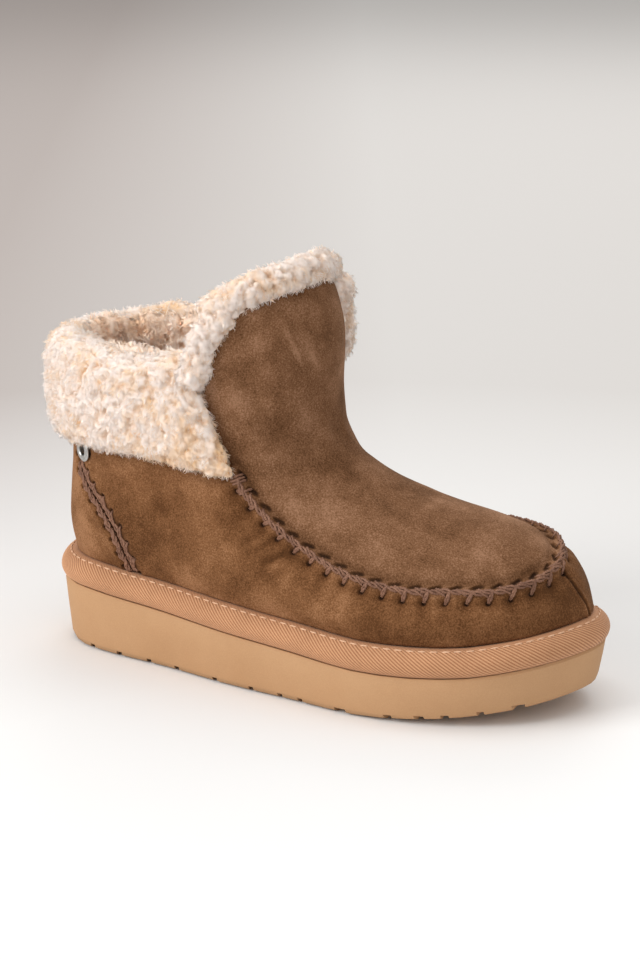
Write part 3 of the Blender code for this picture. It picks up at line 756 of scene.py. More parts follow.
# the lining's gold is painted warm shade for the inside of the shaft
paint(upper.data, tone=tone, rust=rust, tip=tips, warm=LINING_WARM_SHADE * inner)
thin(upper, lining_between(upper, LINING_FINE, 1.0), 0.5)
leather_tree = nearest_tree(upper)
print(f"leather moved by {lift.min():.1f} to {lift.max():.1f} mm")

# %% [markdown]
# ## Suede
# Suede is leather with its fibres brushed up. It has no gloss, only a soft sheen where fibres catch
# the light, a fine speckle, and larger cloudy patches where the nap lies the other way. The tone
# attribute painted with the shape holds those mottles and the rust, and also painted shade in holes,
# slots, seams and sunk creases and towards the toe, painted light on the heel and on raised creases,
# and a lighter top on the ridge.


# %% Masks of cloudy noise, and fine relief
CLOUD_GRAIN = (5.0, 0.6)
SPECKLE_GRAIN = (3.0, 0.7)


def noise_mask(tree, scale, detail, roughness):
    return add_node(tree, "ShaderNodeTexNoise", {"Vector": place_in(tree), "Scale": scale, "Detail": detail,
                                                 "Roughness": roughness}).outputs["Fac"]


def cloudy(tree, cloud, speckle, share):
    """Mask of cloudy patches with a share of fine speckle, from the scales of both."""
    patches, specks = noise_mask(tree, cloud, *CLOUD_GRAIN), noise_mask(tree, speckle, *SPECKLE_GRAIN)
    return add_node(tree, "ShaderNodeMix", {"Factor": share, "A": patches, "B": specks},
                    data_type="FLOAT").outputs["Result"]


def relief(tree, shader, scale, strength, distance, grain=SPECKLE_GRAIN):
    """Fine noise as relief."""
    raised = add_node(tree, "ShaderNodeBump", {"Height": noise_mask(tree, scale, *grain),
                                               "Strength": strength, "Distance": distance})
    tree.links.new(raised.outputs["Normal"], shader.inputs["Normal"])


# %% The suede look
TONE_SHARE = 0.42
RUST_TINT = (1.0, 0.92, 0.77, 1.0)

suede, tree, shader = start_look("suede", Roughness=0.95, Specular_IOR_Level=0.12, Sheen_Weight=0.12,
                                 Sheen_Roughness=0.4, Sheen_Tint=(0.62, 0.42, 0.26, 1.0))
mask = cloudy(tree, 42.0, 1450.0, 0.54)
level = add_node(tree, "ShaderNodeMath", {0: stored(tree, "tone"), 1: TONE_SHARE, 2: mask},
                 operation="MULTIPLY_ADD")
colour = ramp(tree, level.outputs["Value"], (
    (0.10, (0.032, 0.014, 0.007)),
    (0.38, (0.100, 0.043, 0.017)),
    (0.50, (0.198, 0.094, 0.045)),
    (0.62, (0.335, 0.180, 0.103)),
))
tinted = mixed(tree, stored(tree, "rust"), colour, RUST_TINT, "MULTIPLY")
tree.links.new(tinted, shader.inputs["Base Color"])
relief(tree, shader, 1400.0, 0.45, 0.0006, grain=(4.0, 0.75))

# %% [markdown]
# ## Twisted cord
# The seams are sewn with a thick waxed cord. A twisted cord's section has three soft lobes that wind
# along it. A curve does this well: its bevel takes the lobed section and its tilt winds it.
#
# On the moccasin seam two strands come up over the ridge from each hole. Two more, which wind round
# each other, run along the ridge from each slot to a place beyond the next one. A few turns across
# the seam knot it where it starts, at the cuff on the outer side. Each heel seam has two rows of
# crossed loops beside two winding pairs of strands. All stitches of a seam become one mesh.

# %% Curves and the cord maker
CORD_RADIUS = 0.66
CORD_LOBES = 3
LOBE_REACH = (0.86, 1.12)
CORD_WIND = 7.0
CORD_MERGE = 0.005 * MM


def add_line(data, points):
    """Add a spline of straight runs through the points to a curve."""
    spline = data.splines.new("POLY")
    spline.points.add(len(points) - 1)
    spline.points.foreach_set("co", np.c_[points, np.ones(len(points))].ravel())
    return spline


def tube_curve(name):
    """Empty curve in space, whose tubes get closed ends."""
    data = bpy.data.curves.new(name, "CURVE")
    data.dimensions = "3D"
    data.use_fill_caps = True
    return data


def to_mesh(name, data):
    only(add_object(name, data))
    bpy.ops.object.convert(target="MESH")
    return bpy.context.object


def cord_section(radius):
    """Small closed curve with three soft lobes."""
    data = bpy.data.curves.new("cord_section", "CURVE")
    corners = range(2 * CORD_LOBES)
    ways = [(cos(k * pi / CORD_LOBES), sin(k * pi / CORD_LOBES), 0.0) for k in corners]
    section = add_line(data, [LOBE_REACH[k % 2] * np.array(ways[k]) for k in corners])
    section.use_cyclic_u = True
    made = add_object("cord_section", data)
    made.scale = (radius * MM,) * 3
    return made


def lay_cords(name, strands, radius=CORD_RADIUS):
    """One mesh of twisted cords along the given lines of points."""
    section = cord_section(radius)
    bpy.context.view_layer.update()
    data = tube_curve(name)
    data.bevel_mode = "OBJECT"
    data.bevel_object = section
    for strand in strands:
        tilt = 2 * pi * (run_along(strand) / MM) / CORD_WIND
        add_line(data, strand).points.foreach_set("tilt", tilt)
    piece = to_mesh(name, data)
    bpy.data.objects.remove(section)
    edit(piece, "SELECT")
    bpy.ops.mesh.remove_doubles(threshold=CORD_MERGE)
    leave()
    face_outwards(piece)
    return piece


# %% Stitches that lie on the leather
STRAND_POINTS = 16
ROPE_TURNS = 1.5
PROBE = 7 * MM
TAUT_PASSES = 40
REST_HEIGHT = 0.75
SPLIT_SPAN = (0.12, 0.9)
SPLIT_HASTE = 1.3


def on_leather(path, run, aside, start_dip, end_dip, radius):
    """Line over the shaped leather, pulled taut, with both ends dipping into their holes."""
    flat = path.at(run, aside * MM)
    out = unit(path.at(run, aside * MM, np.full(len(run), MM)) - flat)
    height = np.zeros(len(run))
    for index, (spot, way) in enumerate(zip(flat, out)):
        hit = leather_tree.ray_cast(Vector(spot + way * PROBE), Vector(-way), 2 * PROBE)[0]
        if hit is not None:
            height[index] = (np.array(hit) - spot) @ way
    height[0] -= start_dip * MM
    height[-1] -= end_dip * MM
    surface = height.copy()
    for _ in range(TAUT_PASSES):
        height[1:-1] = np.maximum(surface[1:-1], 0.5 * (height[:-2] + height[2:]))
    return flat + out * (height + REST_HEIGHT * radius * MM)[:, None]


def stitch(path, start, end, split=0.0, dips=(1.3, 1.0), radius=CORD_RADIUS, wind=0.0):
    """Strand from one hole to another; each end is (length along the seam, millimetres aside).

    Split spreads a double strand along the seam; wind makes the two strands turn round each other.
    """
    t = np.linspace(0, 1, STRAND_POINTS)
    spread = split * MM * np.sin(pi * np.clip(t * SPLIT_HASTE, *SPLIT_SPAN))
    run = start[0] + (end[0] - start[0]) * t + spread
    turn = 2 * pi * ROPE_TURNS * t
    aside = start[1] + (end[1] - start[1]) * t + wind * np.cos(turn)
    raised = path.at(run, 0, 0.5 * wind * MM * np.sin(turn)) - path.at(run)
    return on_leather(path, run, aside, *dips, radius) + raised


# %% The moccasin seam's cord
PAIR = (-0.5, 0.5)
ROPE_PAIR = (-0.65, 0.65)
ROPE_REACH = 1.55 * STITCH_PITCH
ROPE_ASIDE = 0.9
ROPE_DIPS = (1.2, 0.9)
LOOP_FROM = 0.3
LOOP_ASIDE = 0.5
LOOP_LEAN = 0.3
KNOT_RUNS = (1.5, 3.0, 4.5, 9.5)
KNOT_ASIDE = 3.0
KNOT_LEAN = 1.2

last_hole = apron_seam.length - STITCH_PITCH * 0.6
hole_runs = np.arange(FIRST_HOLE - STITCH_PITCH, last_hole, STITCH_PITCH)
strands = []
hand = np.random.default_rng(8)
for run in hole_runs:
    slot_run = run + 0.5 * STITCH_PITCH
    if run > 0:
        slack, pull = hand.normal(0, 0.35), hand.normal(0, 0.2)
        start = (run, LOOP_FROM - hole_aside(run) + pull)
        end = (run + (LOOP_LEAN * STITCH_PITCH + slack * MM), LOOP_ASIDE)
        strands += [stitch(apron_seam, start, end, split) for split in PAIR]
    far_run = min(slot_run + ROPE_REACH, apron_seam.length)
    slack = hand.normal(0, 0.2)
    start, end = (slot_run, ROPE_ASIDE + slack), (far_run, -ROPE_ASIDE + slack)
    strands += [stitch(apron_seam, start, end, dips=ROPE_DIPS, wind=wind) for wind in ROPE_PAIR]
for run in KNOT_RUNS:
    strands.append(stitch(apron_seam, (run * MM, -KNOT_ASIDE), ((run + KNOT_LEAN) * MM, KNOT_ASIDE)))
moccasin_cord = lay_cords("moccasin_cord", strands)
print(f"moccasin seam: {len(hole_runs)} stitches")

# %% The heel seams' cord: a loop goes in from its hole and comes back, in shares of the pitch
HEEL_CORD = 0.5
HEEL_ROWS = ((1, 0.0), (-1, 0.5))
LOOP_LEGS = ((0.0, 0.8, HEEL_ASIDE - 0.4, 0.9), (0.3, 1.05, 0.9, HEEL_ASIDE - 1.1))
SEAM_START = 0.3 * MM
CORE_START = 0.4 * MM
CORE_POINTS = 110
CORE_ASIDE = 1.6
CORE_WIND = 0.6
CORE_LIFT = 0.25
CORE_DIP = 0.6

strands = []
for heel_seam in heel_seams:
    for row, phase in HEEL_ROWS:
        for run in np.arange(FIRST_HEEL_HOLE + (phase - 1) * HEEL_PITCH, heel_seam.length - MM, HEEL_PITCH):
            for split in PAIR:
                for start, end, from_aside, to_aside in LOOP_LEGS:
                    slack = hand.normal(0, 0.3, 2)
                    ends = (run + start * HEEL_PITCH, run + end * HEEL_PITCH)
                    start_run, end_run = np.clip(ends, SEAM_START, heel_seam.length)
                    strands.append(stitch(heel_seam, (start_run, row * from_aside + slack[0]),
                                          (end_run, row * to_aside + slack[1]), split, radius=HEEL_CORD))
    core = np.linspace(CORE_START, heel_seam.length, CORE_POINTS)
    for row in (-1, 1):
        for turn in (0, pi):
            wind = 2 * pi * core / HEEL_PITCH + turn
            aside = row * CORE_ASIDE + CORE_WIND * np.cos(wind)
            raised = heel_seam.at(core, 0, CORE_LIFT * MM * np.sin(wind)) - heel_seam.at(core)
            strands.append(on_leather(heel_seam, core, aside, CORE_DIP, CORE_DIP, HEEL_CORD) + raised)
heel_cord = lay_cords("heel_cord", strands, HEEL_CORD)
print(f"heel seams: {len(strands)} strands")

# %% [markdown]
# ## The ribbed tape round the sole
# The rand is a fabric tape wrapped over a half-round strip, with slanted twill ribs. It starts as a
# flat grid, nearly two thousand faces long and 16 wide, that is laid round the sole's outline. Its
# columns lean along the ribs, so six columns make one rib and no rib breaks into steps. The two
# inner borders are bridged at the end, which closes the ring.

# %% The sole's outline as x, outer side and inner side, and the tape's section, in millimetres
OUTLINE = (
    (-134.0, 0.0, 0.0), (-127.0, 19.8, 19.8), (-114.0, 31.8, 31.0), (-95.0, 37.4, 35.8),
    (-62.0, 41.6, 37.6), (-25.0, 48.6, 39.8), (10.0, 52.2, 45.0), (45.0, 56.2, 52.2),
    (75.0, 52.6, 52.4), (98.0, 44.0, 46.6), (116.0, 31.0, 36.4), (128.0, 14.6, 25.0),
    (134.0, -5.5, 5.5),
)
OUTLINE_SHIFT = (2.07, 1.55)
OUTLINE_STEPS = 40
TAPE_SECTION = (
    (-14.0, 0.2), (-1.4, 0.1), (0.3, 1.2), (1.3, 3.0), (1.65, 5.0), (1.1, 7.4), (-0.6, 9.8),
    (-2.6, 11.3), (-5.2, 12.0), (-14.0, 11.9),
)
FOOT_INSIDE = 4 * MM
UNDER_FLOOR = -10 * MM


def between(t, first, second, start, end):
    """The place at t on a straight way from first, at start, to second, at end."""
    return ((end - t) * first + (t - start) * second) / (end - start)


def closed_line(points):
    """Smooth closed curve through plan points, its spans weighted by their length."""
    loop = np.vstack([points[-1:], points, points[:2]])
    knots = np.r_[0, np.cumsum(np.sqrt(np.hypot(*np.diff(loop, axis=0).T)))]
    spans = []
    for k in range(len(points)):
        four, at = loop[k:k + 4], knots[k:k + 4]
        t = np.linspace(at[1], at[2], OUTLINE_STEPS + 1)[:-1, None]
        three = [between(t, *ends) for ends in zip(four, four[1:], at, at[1:])]
        two = [between(t, *ends) for ends in zip(three, three[1:], at, at[2:])]
        spans.append(between(t, *two, at[1], at[2]))
    return np.vstack(spans)


there = [(x, -outer_y) for x, outer_y, _ in OUTLINE]
back = [(x, inner_y) for x, _, inner_y in OUTLINE[-2:0:-1]]
plan = (closed_line(np.array(there + back)) + OUTLINE_SHIFT) * MM
plan = np.vstack([plan, plan[:1]])
plan_run = run_along(plan)
plan_ahead = unit(np.gradient(np.vstack([plan[-2:-1], plan, plan[1:2]]), axis=0)[1:-1])
SOLE_ROUND = plan_run[-1]

tape_bottom = nearest_tree(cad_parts["midsole"])
foot = []
for spot, way in zip(plan, plan_ahead):
    inside = spot + FOOT_INSIDE * np.array([-way[1], way[0]])
    foot.append(tape_bottom.ray_cast(Vector((*inside, UNDER_FLOOR)), Vector((0, 0, 1)))[0].z)
foot = np.array(foot)
print(f"sole outline is {SOLE_ROUND / MM:.0f} mm round")
print(f"tape foot is {foot.min() / MM:.0f} to {foot.max() / MM:.0f} mm up")


def round_sole(run, out, up):
    """Points at lengths round the sole, moved outwards and up from the tape's foot."""
    run = np.mod(run, SOLE_ROUND)
    spot = [np.interp(run, plan_run, column) for column in plan.T]
    way = unit(np.stack([np.interp(run, plan_run, column) for column in plan_ahead.T], -1))
    return np.stack([spot[0] + way[..., 1] * out, spot[1] - way[..., 0] * out,
                     np.interp(run, plan_run, foot) + up], -1)


# %% Lay the tape
SECTION_SPACING = 0.2 * MM
SECTION_ROWS = 15
RIB_PITCH = 2.0
RIB_COLUMNS = 6
RIB_DEPTH = 0.26
RIB_SLOPE = 1.3
RIB_LEVEL = 0.6
RIB_FADE = 2.0
HIDDEN_RIB = 0.4
TAPE_MERGE = 0.01 * MM

line = smooth_line(np.array(TAPE_SECTION[1:-1]) * MM, SECTION_SPACING)
line_run = run_along(line)
arc = np.linspace(0, line_run[-1], SECTION_ROWS)
middle = np.stack([np.interp(arc, line_run, column) for column in line.T], -1)
section = np.vstack([np.array(TAPE_SECTION[0]) * MM, middle, np.array(TAPE_SECTION[-1]) * MM])
arc = np.r_[arc[0], arc, arc[-1]]
slope = unit(np.gradient(section, axis=0))
last_row = len(section) - 1
rib_count = round(SOLE_ROUND / MM / RIB_PITCH)
columns = rib_count * RIB_COLUMNS

bpy.ops.mesh.primitive_grid_add(x_subdivisions=columns, y_subdivisions=last_row, size=1.0)
tape = bpy.context.object
tape.name = "rand_tape"
flat = points_of(tape)
column = np.rint((flat[:, 0] + 0.5) * columns).astype(int)
row = np.rint((flat[:, 1] + 0.5) * last_row).astype(int)
run = column / columns * SOLE_ROUND + RIB_SLOPE * (arc[-1] - arc[row])
on_side = np.clip(np.minimum(row - 1, last_row - 1 - row) / RIB_FADE, 0, 1)
rib = 0.5 + 0.5 * np.cos(2 * pi * (column % RIB_COLUMNS) / RIB_COLUMNS) * on_side
depth = (rib - RIB_LEVEL) * RIB_DEPTH * MM * on_side
out, up = section[row, 0] + slope[row, 1] * depth, section[row, 1] - slope[row, 0] * depth
set_points(tape, round_sole(run, out, up))
paint(tape.data, rib=np.where(on_side > 0, rib, HIDDEN_RIB))
edit(tape, "SELECT")
bpy.ops.mesh.remove_doubles(threshold=TAPE_MERGE)
bpy.ops.mesh.select_all(action="DESELECT")
bpy.ops.mesh.select_mode(type="EDGE")
bpy.ops.mesh.select_non_manifold(extend=False, use_wire=False, use_boundary=True, use_multi_face=False,
                                 use_non_contiguous=False, use_verts=False)
bpy.ops.mesh.bridge_edge_loops()
leave()
face_outwards(tape)
print(f"tape: {rib_count} ribs")

# %% [markdown]
# ## Curly fleece
# The cuff, the edge of the flap and the lining are curly sheep's pile. From near, it is soft rounded
# tufts of a few millimetres, with a fuzz of fine fibre ends on top. Their golden hollows and darker
# fibre roots are painted shade.
# Particle hair would not export as a mesh, so the pile is built in two layers. The base is a copy of the
# CAD solid with the tufts pushed out of it. On the base stand small wisps of curled fibres. A few
# different wisps are modelled once, and each copy is turned, leaned and scaled on its own.

# %% Tufts pushed out of a base
LEATHER_CLEAR = (0.6, 4.0)
OFF_SURFACE = 0.3 * MM
COVERED = 5 * MM
FRONT_X = -30.0
CORNER_X = (-85.0, -40.0)
CORNER_Z = (140.0, 110.0)
GOLDEN_PATCHES = ((1.2, 13.0, 0), (0.9, 4.0, 1))
# painted warm shade: pile that faces into the shaft gets more gold
GOLDEN_PLACES = 0.7
BASE_SINK = 1.8
BASE_SWELL = (0.8, 9.0)
INSIDE_SHADE = 0.2


def in_sight(piece):
    """Faces that don't look straight at the leather, where pile is seen."""
    return np.array([leather_tree.ray_cast(face.center + face.normal * OFF_SURFACE, face.normal, COVERED)[0]
                     is None for face in piece.data.polygons])


def inwardness(points, out):
    """How much the pile faces the middle of the shaft, from 0 to 1."""
    x, y, _ = points.T / MM
    to_middle = unit(np.c_[SHAFT_X - x, -y, np.zeros(len(x))])
    return np.clip((out * to_middle).sum(1), 0, 1) * (x < FRONT_X)


def warmth(points, out, seed):
    """How golden the pile is: in patches, at the low front corner of the cuff, and inside the shaft, where
    the gold is painted warm shade.
    """
    x, _, z = points.T / MM
    places = share_of(x, *CORNER_X) * share_of(z, *CORNER_Z) + inwardness(points, out)
    patches = layered(points, [(height, size, seed + step) for height, size, step in GOLDEN_PATCHES])
    return np.clip(patches + GOLDEN_PLACES * places, 0, 1)


def raise_tufts(piece, seed, height, keep=1.0, at_leather=0.4):
    """Draw a base in where it is away from the leather, cover it with tufts, and thin its mesh."""
    points, out = points_of(piece), normals_of(piece)
    gap = np.array([leather_tree.find_nearest(Vector(p))[3] for p in points]) / MM
    free = share_of(gap, *LEATHER_CLEAR)
    heads, curls = tufts(points, seed)
    lumps = height * heads + CURL_HEIGHT * curls + layered(points, [(*BASE_SWELL, seed)])
    raised = lumps * (at_leather + (1 - at_leather) * free) - BASE_SINK * free
    set_points(piece, points + out * (raised * MM)[:, None])
    # painted shade: tip values are low in the hollows between tufts, and lower where the pile faces into
    # the shaft
    shaded = 1 - INSIDE_SHADE * inwardness(points, out)
    paint(piece.data, tip=(0.1 + 0.6 * heads + 0.25 * curls) * shaded, warm=warmth(points, out, seed))
    thin(piece, np.ones(len(piece.data.polygons), bool), keep)
    print(f"{piece.name}: lumps of {lumps.min():.1f} to {lumps.max():.1f} mm")


# %% The cuff's base: as in the photo, its rim is lower on the outer side and higher on the inner
RIM_SINK = (4.5, (-105.0, -70.0), (-46.0, -60.0), (0.0, -15.0), (122.0, 144.0))
RIM_RISE = (3.5, (-118.0, -100.0), (-45.0, -65.0), (0.0, 15.0), (141.0, 147.0))


def moved(points, most, from_heel, from_front, to_side, upwards):
    """A height that fades in from the heel, from the front, to one side and upwards."""
    x, y, z = points.T / MM
    in_front_of_heel = share_of(x, *from_heel) * share_of(x, *from_front)
    return most * in_front_of_heel * share_of(y, *to_side) * share_of(z, *upwards)


cuff_base = copy_node("cuff", "cuff_base", 3)
points = points_of(cuff_base)
sunk, risen = moved(points, *RIM_SINK), moved(points, *RIM_RISE)
points[:, 2] += (risen - sunk) * MM
set_points(cuff_base, points)
print(f"cuff's rim sinks {sunk.max():.1f} mm at most on the outer side")
print(f"and rises {risen.max():.1f} mm at most on the inner side")
split_faces(cuff_base, in_sight(cuff_base))
raise_tufts(cuff_base, 11, 1.8, keep=0.62)

# %% The base of the flap's edge, with a roll down either side: a radius and a line of points
EDGE_ROLLS = (
    (5.6, ((-27.0, -35.0, 168.0), (-31.0, -37.0, 163.5), (-34.5, -39.0, 158.0), (-36.7, -40.0, 150.0),
           (-39.0, -41.5, 143.0), (-41.0, -43.0, 137.0))),
    (6.0, ((-9.0, 33.0, 172.0), (-10.0, 37.0, 166.0), (-11.5, 40.0, 158.0), (-12.0, 41.0, 150.0),
           (-13.0, 42.5, 143.0), (-15.0, 44.0, 137.0))),
)
ROLL_SPACING = 1.5 * MM
TRIM_VOXEL = 0.62 * MM
SOFTEN_PASSES = 12


def add_remesh(piece, voxel):
    """Add a modifier that rebuilds a closed mesh from small even faces."""
    even = piece.modifiers.new("even", "REMESH")
    even.mode = "VOXEL"
    even.voxel_size = voxel


trim_base = copy_node("flap_trim", "trim_base", 1)
rolls = []
for radius, spots in EDGE_ROLLS:
    data = tube_curve("roll")
    data.bevel_depth = radius * MM
    data.bevel_resolution = 3
    add_line(data, smooth_line(np.array(spots) * MM, ROLL_SPACING))
    rolls.append(to_mesh("roll", data))
only(trim_base)
for roll in rolls:
    roll.select_set(True)
bpy.ops.object.join()
add_remesh(trim_base, TRIM_VOXEL)
soften = trim_base.modifiers.new("soften", "SMOOTH")
soften.factor = 0.5
soften.iterations = SOFTEN_PASSES
apply_all(trim_base)
raise_tufts(trim_base, 17, 3.0, at_leather=0.85)

# %% Wisps: small bunches of tapered fibres
WISP_LENGTH = 3.5
WISP_FIBRES = 3
WISP_SPREAD = 0.9
WISP_LEAN = 0.9
FIBRE_RADIUS = 0.19
WISP_VARIANTS = 8


def make_fibre():
    """Straight three-sided fibre, pointed at the tip, with a ring to bend at."""
    bpy.ops.object.select_all(action="DESELECT")
    bpy.ops.mesh.primitive_cone_add(vertices=3, radius1=FIBRE_RADIUS * MM, depth=WISP_LENGTH * MM,
                                    location=(0, 0, WISP_LENGTH * MM / 2))
    fibre = bpy.context.object
    bpy.ops.object.transform_apply(location=True)
    edit(fibre, "SELECT")
    bpy.ops.mesh.bisect(plane_co=(0, 0, 0.5 * WISP_LENGTH * MM), plane_no=(0, 0, 1))
    leave()
    return take_shape(fibre)


def take_shape(model):
    """Points and faces of a small model, which is removed."""
    points, faces = points_of(model), [tuple(face.vertices) for face in model.data.polygons]
    bpy.data.objects.remove(model)
    return points, faces


def make_wisp(fibre, dice):
    """Points of one wisp: fibres that curl together and lean to +X."""
    share = fibre[:, 2] / WISP_LENGTH
    arch = np.sin(pi * share)
    fullness = 1 + 0.5 * arch
    made = []
    turn = dice.uniform(0, 2 * pi)
    for _ in range(WISP_FIBRES):
        angle, away = dice.uniform(0, 2 * pi), WISP_SPREAD * dice.uniform(0.2, 1) ** 0.5
        bend = turn + dice.normal(0, 0.6)
        curl = dice.uniform(0.5, 0.9) * arch
        away = away * (1 - 0.4 * share)
        x = fibre[:, 0] * fullness + away * cos(angle) + curl * cos(bend) + WISP_LEAN * share ** 2
        y = fibre[:, 1] * fullness + away * sin(angle) + curl * sin(bend)
        made.append(np.c_[x, y, dice.uniform(0.7, 1.1) * WISP_LENGTH * (share - 0.2 * share ** 2)])
    return np.vstack(made)


fibre_points, fibre_faces = make_fibre()
fibre_points = fibre_points / MM
wisp_shares = np.tile(fibre_points[:, 2] / WISP_LENGTH, WISP_FIBRES)
wisp_dice = np.random.default_rng(5)
wisps = np.stack([make_wisp(fibre_points, wisp_dice) for _ in range(WISP_VARIANTS)])
wisp_faces = [tuple(i + k * len(fibre_points) for i in face)
              for k in range(WISP_FIBRES) for face in fibre_faces]
print(f"a wisp has {sum(len(face) - 2 for face in wisp_faces)} triangles")

# %% Plant wisps on a base
SOFT_SHARE = 0.96
WISP_SWIRL = 0.6
SWIRL_SIZE = 5.0
TRIES = 4


def spread_over(piece, allowed, gap, seed):
    """Random places on the allowed faces, at least a gap apart, with the faces' normals and tip values."""
    dice = np.random.default_rng(seed)
    points = points_of(piece)
    faces = piece.data.polygons
    corners = np.array([[*face.vertices][:3] + [face.vertices[-1]] for face in faces])
    normals = np.array([face.normal for face in faces])
    area = np.array([face.area for face in faces]) * allowed
    tries = int(area.sum() / (gap * MM) ** 2 * TRIES)
    chosen = dice.choice(len(area), tries, p=area / area.sum())
    u, v = dice.uniform(0, 1, (2, tries, 1))
    a, b, c, d = points[corners[chosen]].transpose(1, 0, 2)
    spots = (a * (1 - u) + b * u) * (1 - v) + (d * (1 - u) + c * u) * v
    taken, kept = {}, []
    for index, spot in enumerate(spots / (gap * MM)):
        cell = tuple(np.floor(spot).astype(int))
        around = [taken.get((cell[0] + i, cell[1] + j, cell[2] + k), ())
                  for i in (-1, 0, 1) for j in (-1, 0, 1) for k in (-1, 0, 1)]
        if all((other - spot) @ (other - spot) >= 1 for group in around for other in group):
            taken.setdefault(cell, []).append(spot)
            kept.append(index)
    tips = np.zeros(len(points), np.float32)
    piece.data.attributes["tip"].data.foreach_get("value", tips)
    return spots[kept], normals[chosen[kept]], tips[corners[chosen[kept]]].mean(1)


def turned(shape, ahead, side, up):
    """A shape's points for each copy, with its x, y and z along the copy's own three directions."""
    return shape[..., :1] * ahead[:, None] + shape[..., 1:2] * side[:, None] + shape[..., 2:] * up[:, None]


def repeat_shape(name, placed, faces):
    """One mesh with a copy of the faces for each row of placed points."""
    stride = placed.shape[1]
    mesh = bpy.data.meshes.new(name)
    mesh.from_pydata(placed.reshape(-1, 3), [], [tuple(i + stride * k for i in face)
                                                 for k in range(len(placed)) for face in faces])
    return add_object(name, mesh)


def plant(name, spots, out, tips, seed, lean=0.9, size=(0.6, 1.0), golden=0.1):
    """One mesh of wisps at the given places; neighbours lean alike, so they stand in tufts."""
    dice = np.random.default_rng(seed)
    count = len(spots)
    fall = np.array([0, 0, -1.0]) + dice.normal(0, 0.35, (count, 3))
    fall = unit(fall - out * (fall * out).sum(1)[:, None])
    swirl = WISP_SWIRL * drifting(spots, SWIRL_SIZE, seed + 10)
    ways = unit(out + fall * lean * dice.uniform(0.4, 1.3, (count, 1)) + swirl
                + dice.normal(0, 0.13, (count, 3)))
    side = unit(np.cross(ways, fall + dice.normal(0, 0.5, (count, 3))))
    scale = dice.uniform(*size, (count, 1, 1)) * MM
    shapes = wisps[dice.integers(0, WISP_VARIANTS, count)]
    placed = spots[:, None] + scale * turned(shapes, np.cross(side, ways), side, ways)
    piece = repeat_shape(name, placed, wisp_faces)
    # gold from patches and random golden wisps, plus painted warm shade inside the shaft
    warm = np.clip(warmth(spots, out, seed) + np.where(dice.uniform(0, 1, count) < golden, 0.5, 0.0), 0, 1)
    stride = len(wisp_shares)
    # painted shade: each wisp is darker towards its root and over hollows of the base
    paint(piece.data, tip=0.37 + 0.40 * tips[:, None] + 0.26 * wisp_shares, warm=np.repeat(warm, stride))
    piece.data.shade_smooth()
    soft = unit(np.repeat(out, stride, 0) * SOFT_SHARE + normals_of(piece) * (1 - SOFT_SHARE))
    piece.data.normals_split_custom_set_from_vertices(soft)
    print(f"{name}: {count} wisps, {triangles_in(piece)} triangles")
    return piece


# %% Wisps on the cuff, in an outer and an inner half, and on the flap's edge
WISP_GAP = 1.24

spots, out, tips = spread_over(cuff_base, in_sight(cuff_base), WISP_GAP, 21)
cuff_wisps = []
for title, seed, chosen in (("outer", 22, spots[:, 1] < 0), ("inner", 23, spots[:, 1] >= 0)):
    cuff_wisps.append(plant(f"cuff_wisps_{title}", spots[chosen], out[chosen], tips[chosen], seed))
spots, out, tips = spread_over(trim_base, in_sight(trim_base), WISP_GAP, 31)
trim_wisps = plant("trim_wisps", spots, out, tips, 32)

# %% Pile inside the shaft, denser in the band that is seen from the front
SEEN_BAND = (124 * MM, 149 * MM)
SEEN_GAP = 1.4
HIDDEN_GAP = 2.6

behind = np.array([face.center.x < BACK_X * MM for face in upper.data.polygons])
seen = lining_between(upper, *SEEN_BAND) & behind
hidden = lining_between(upper, LINING_LOW, 1.0) & ~seen
thick_part = spread_over(upper, seen, SEEN_GAP, 41)
thin_part = spread_over(upper, hidden, HIDDEN_GAP, 43)
spots, out, tips = (np.concatenate(both) for both in zip(thick_part, thin_part))
lining_wisps = plant("lining_wisps", spots, out, tips, 42, lean=0.5, size=(1.0, 1.7), golden=0.3)


# %% The pile look, with colours of root, hollow, tip and gold; the root and hollow colours are painted shade
def pile_look(name, root, hollow, cream, gold):
    """Colour from root to tip, darker at the roots and in hollows as painted shade, and warmer where the
    pile is golden or has painted warm shade.
    """
    look, tree, shader = start_look(name, Roughness=1.0, Specular_IOR_Level=0.05,
                                    Subsurface_Weight=0.75, Subsurface_Radius=(1.0, 0.8, 0.65),
                                    Subsurface_Scale=0.0018)
    shader.subsurface_method = "BURLEY"
    share = stored(tree, "tip")
    pale = ramp(tree, share, ((0.0, root), (0.3, hollow), (0.8, cream)))
    honey = tuple(0.5 * np.add(gold, cream))
    rich = ramp(tree, share, ((0.0, root), (0.5, gold), (1.0, honey)))
    tree.links.new(mixed(tree, stored(tree, "warm"), pale, rich), shader.inputs["Base Color"])
    return look


pile = pile_look("pile", (0.75, 0.44, 0.25), (0.87, 0.65, 0.485), (0.91, 0.79, 0.715), (0.85, 0.575, 0.345))
# painted light: the lining's pile is the same fleece, given brighter, warmer colours for the shaft's shaded
# inside
lining_painted_light = pile_look("lining_pile_painted_light", (0.84, 0.49, 0.29), (0.97, 0.69, 0.48), (0.985, 0.855, 0.755),
                        (0.96, 0.66, 0.45))
finish(cuff_base, [pile], ["cuff"])
for piece in cuff_wisps:
    finish(piece, [pile])
finish(trim_base, [pile], ["flap_trim"])
finish(trim_wisps, [pile])
finish(lining_wisps, [lining_painted_light])
finish(upper, [suede, lining_painted_light], ["upper"])

# %% [markdown]
# ## Stitches on the tape, footbed, and the remaining looks
# A row of short pale stitches holds the tape's upper fold. One stitch is a stretched sphere, modelled
# once; every copy is laid along the tape in its own mesh points. The footbed is remeshed into small
# even faces first, because the CAD solid's flat top has too few points to carry a pile. The foam
# sole is a copy of the CAD solid with smooth shading, and the eyelet stays the CAD part itself.

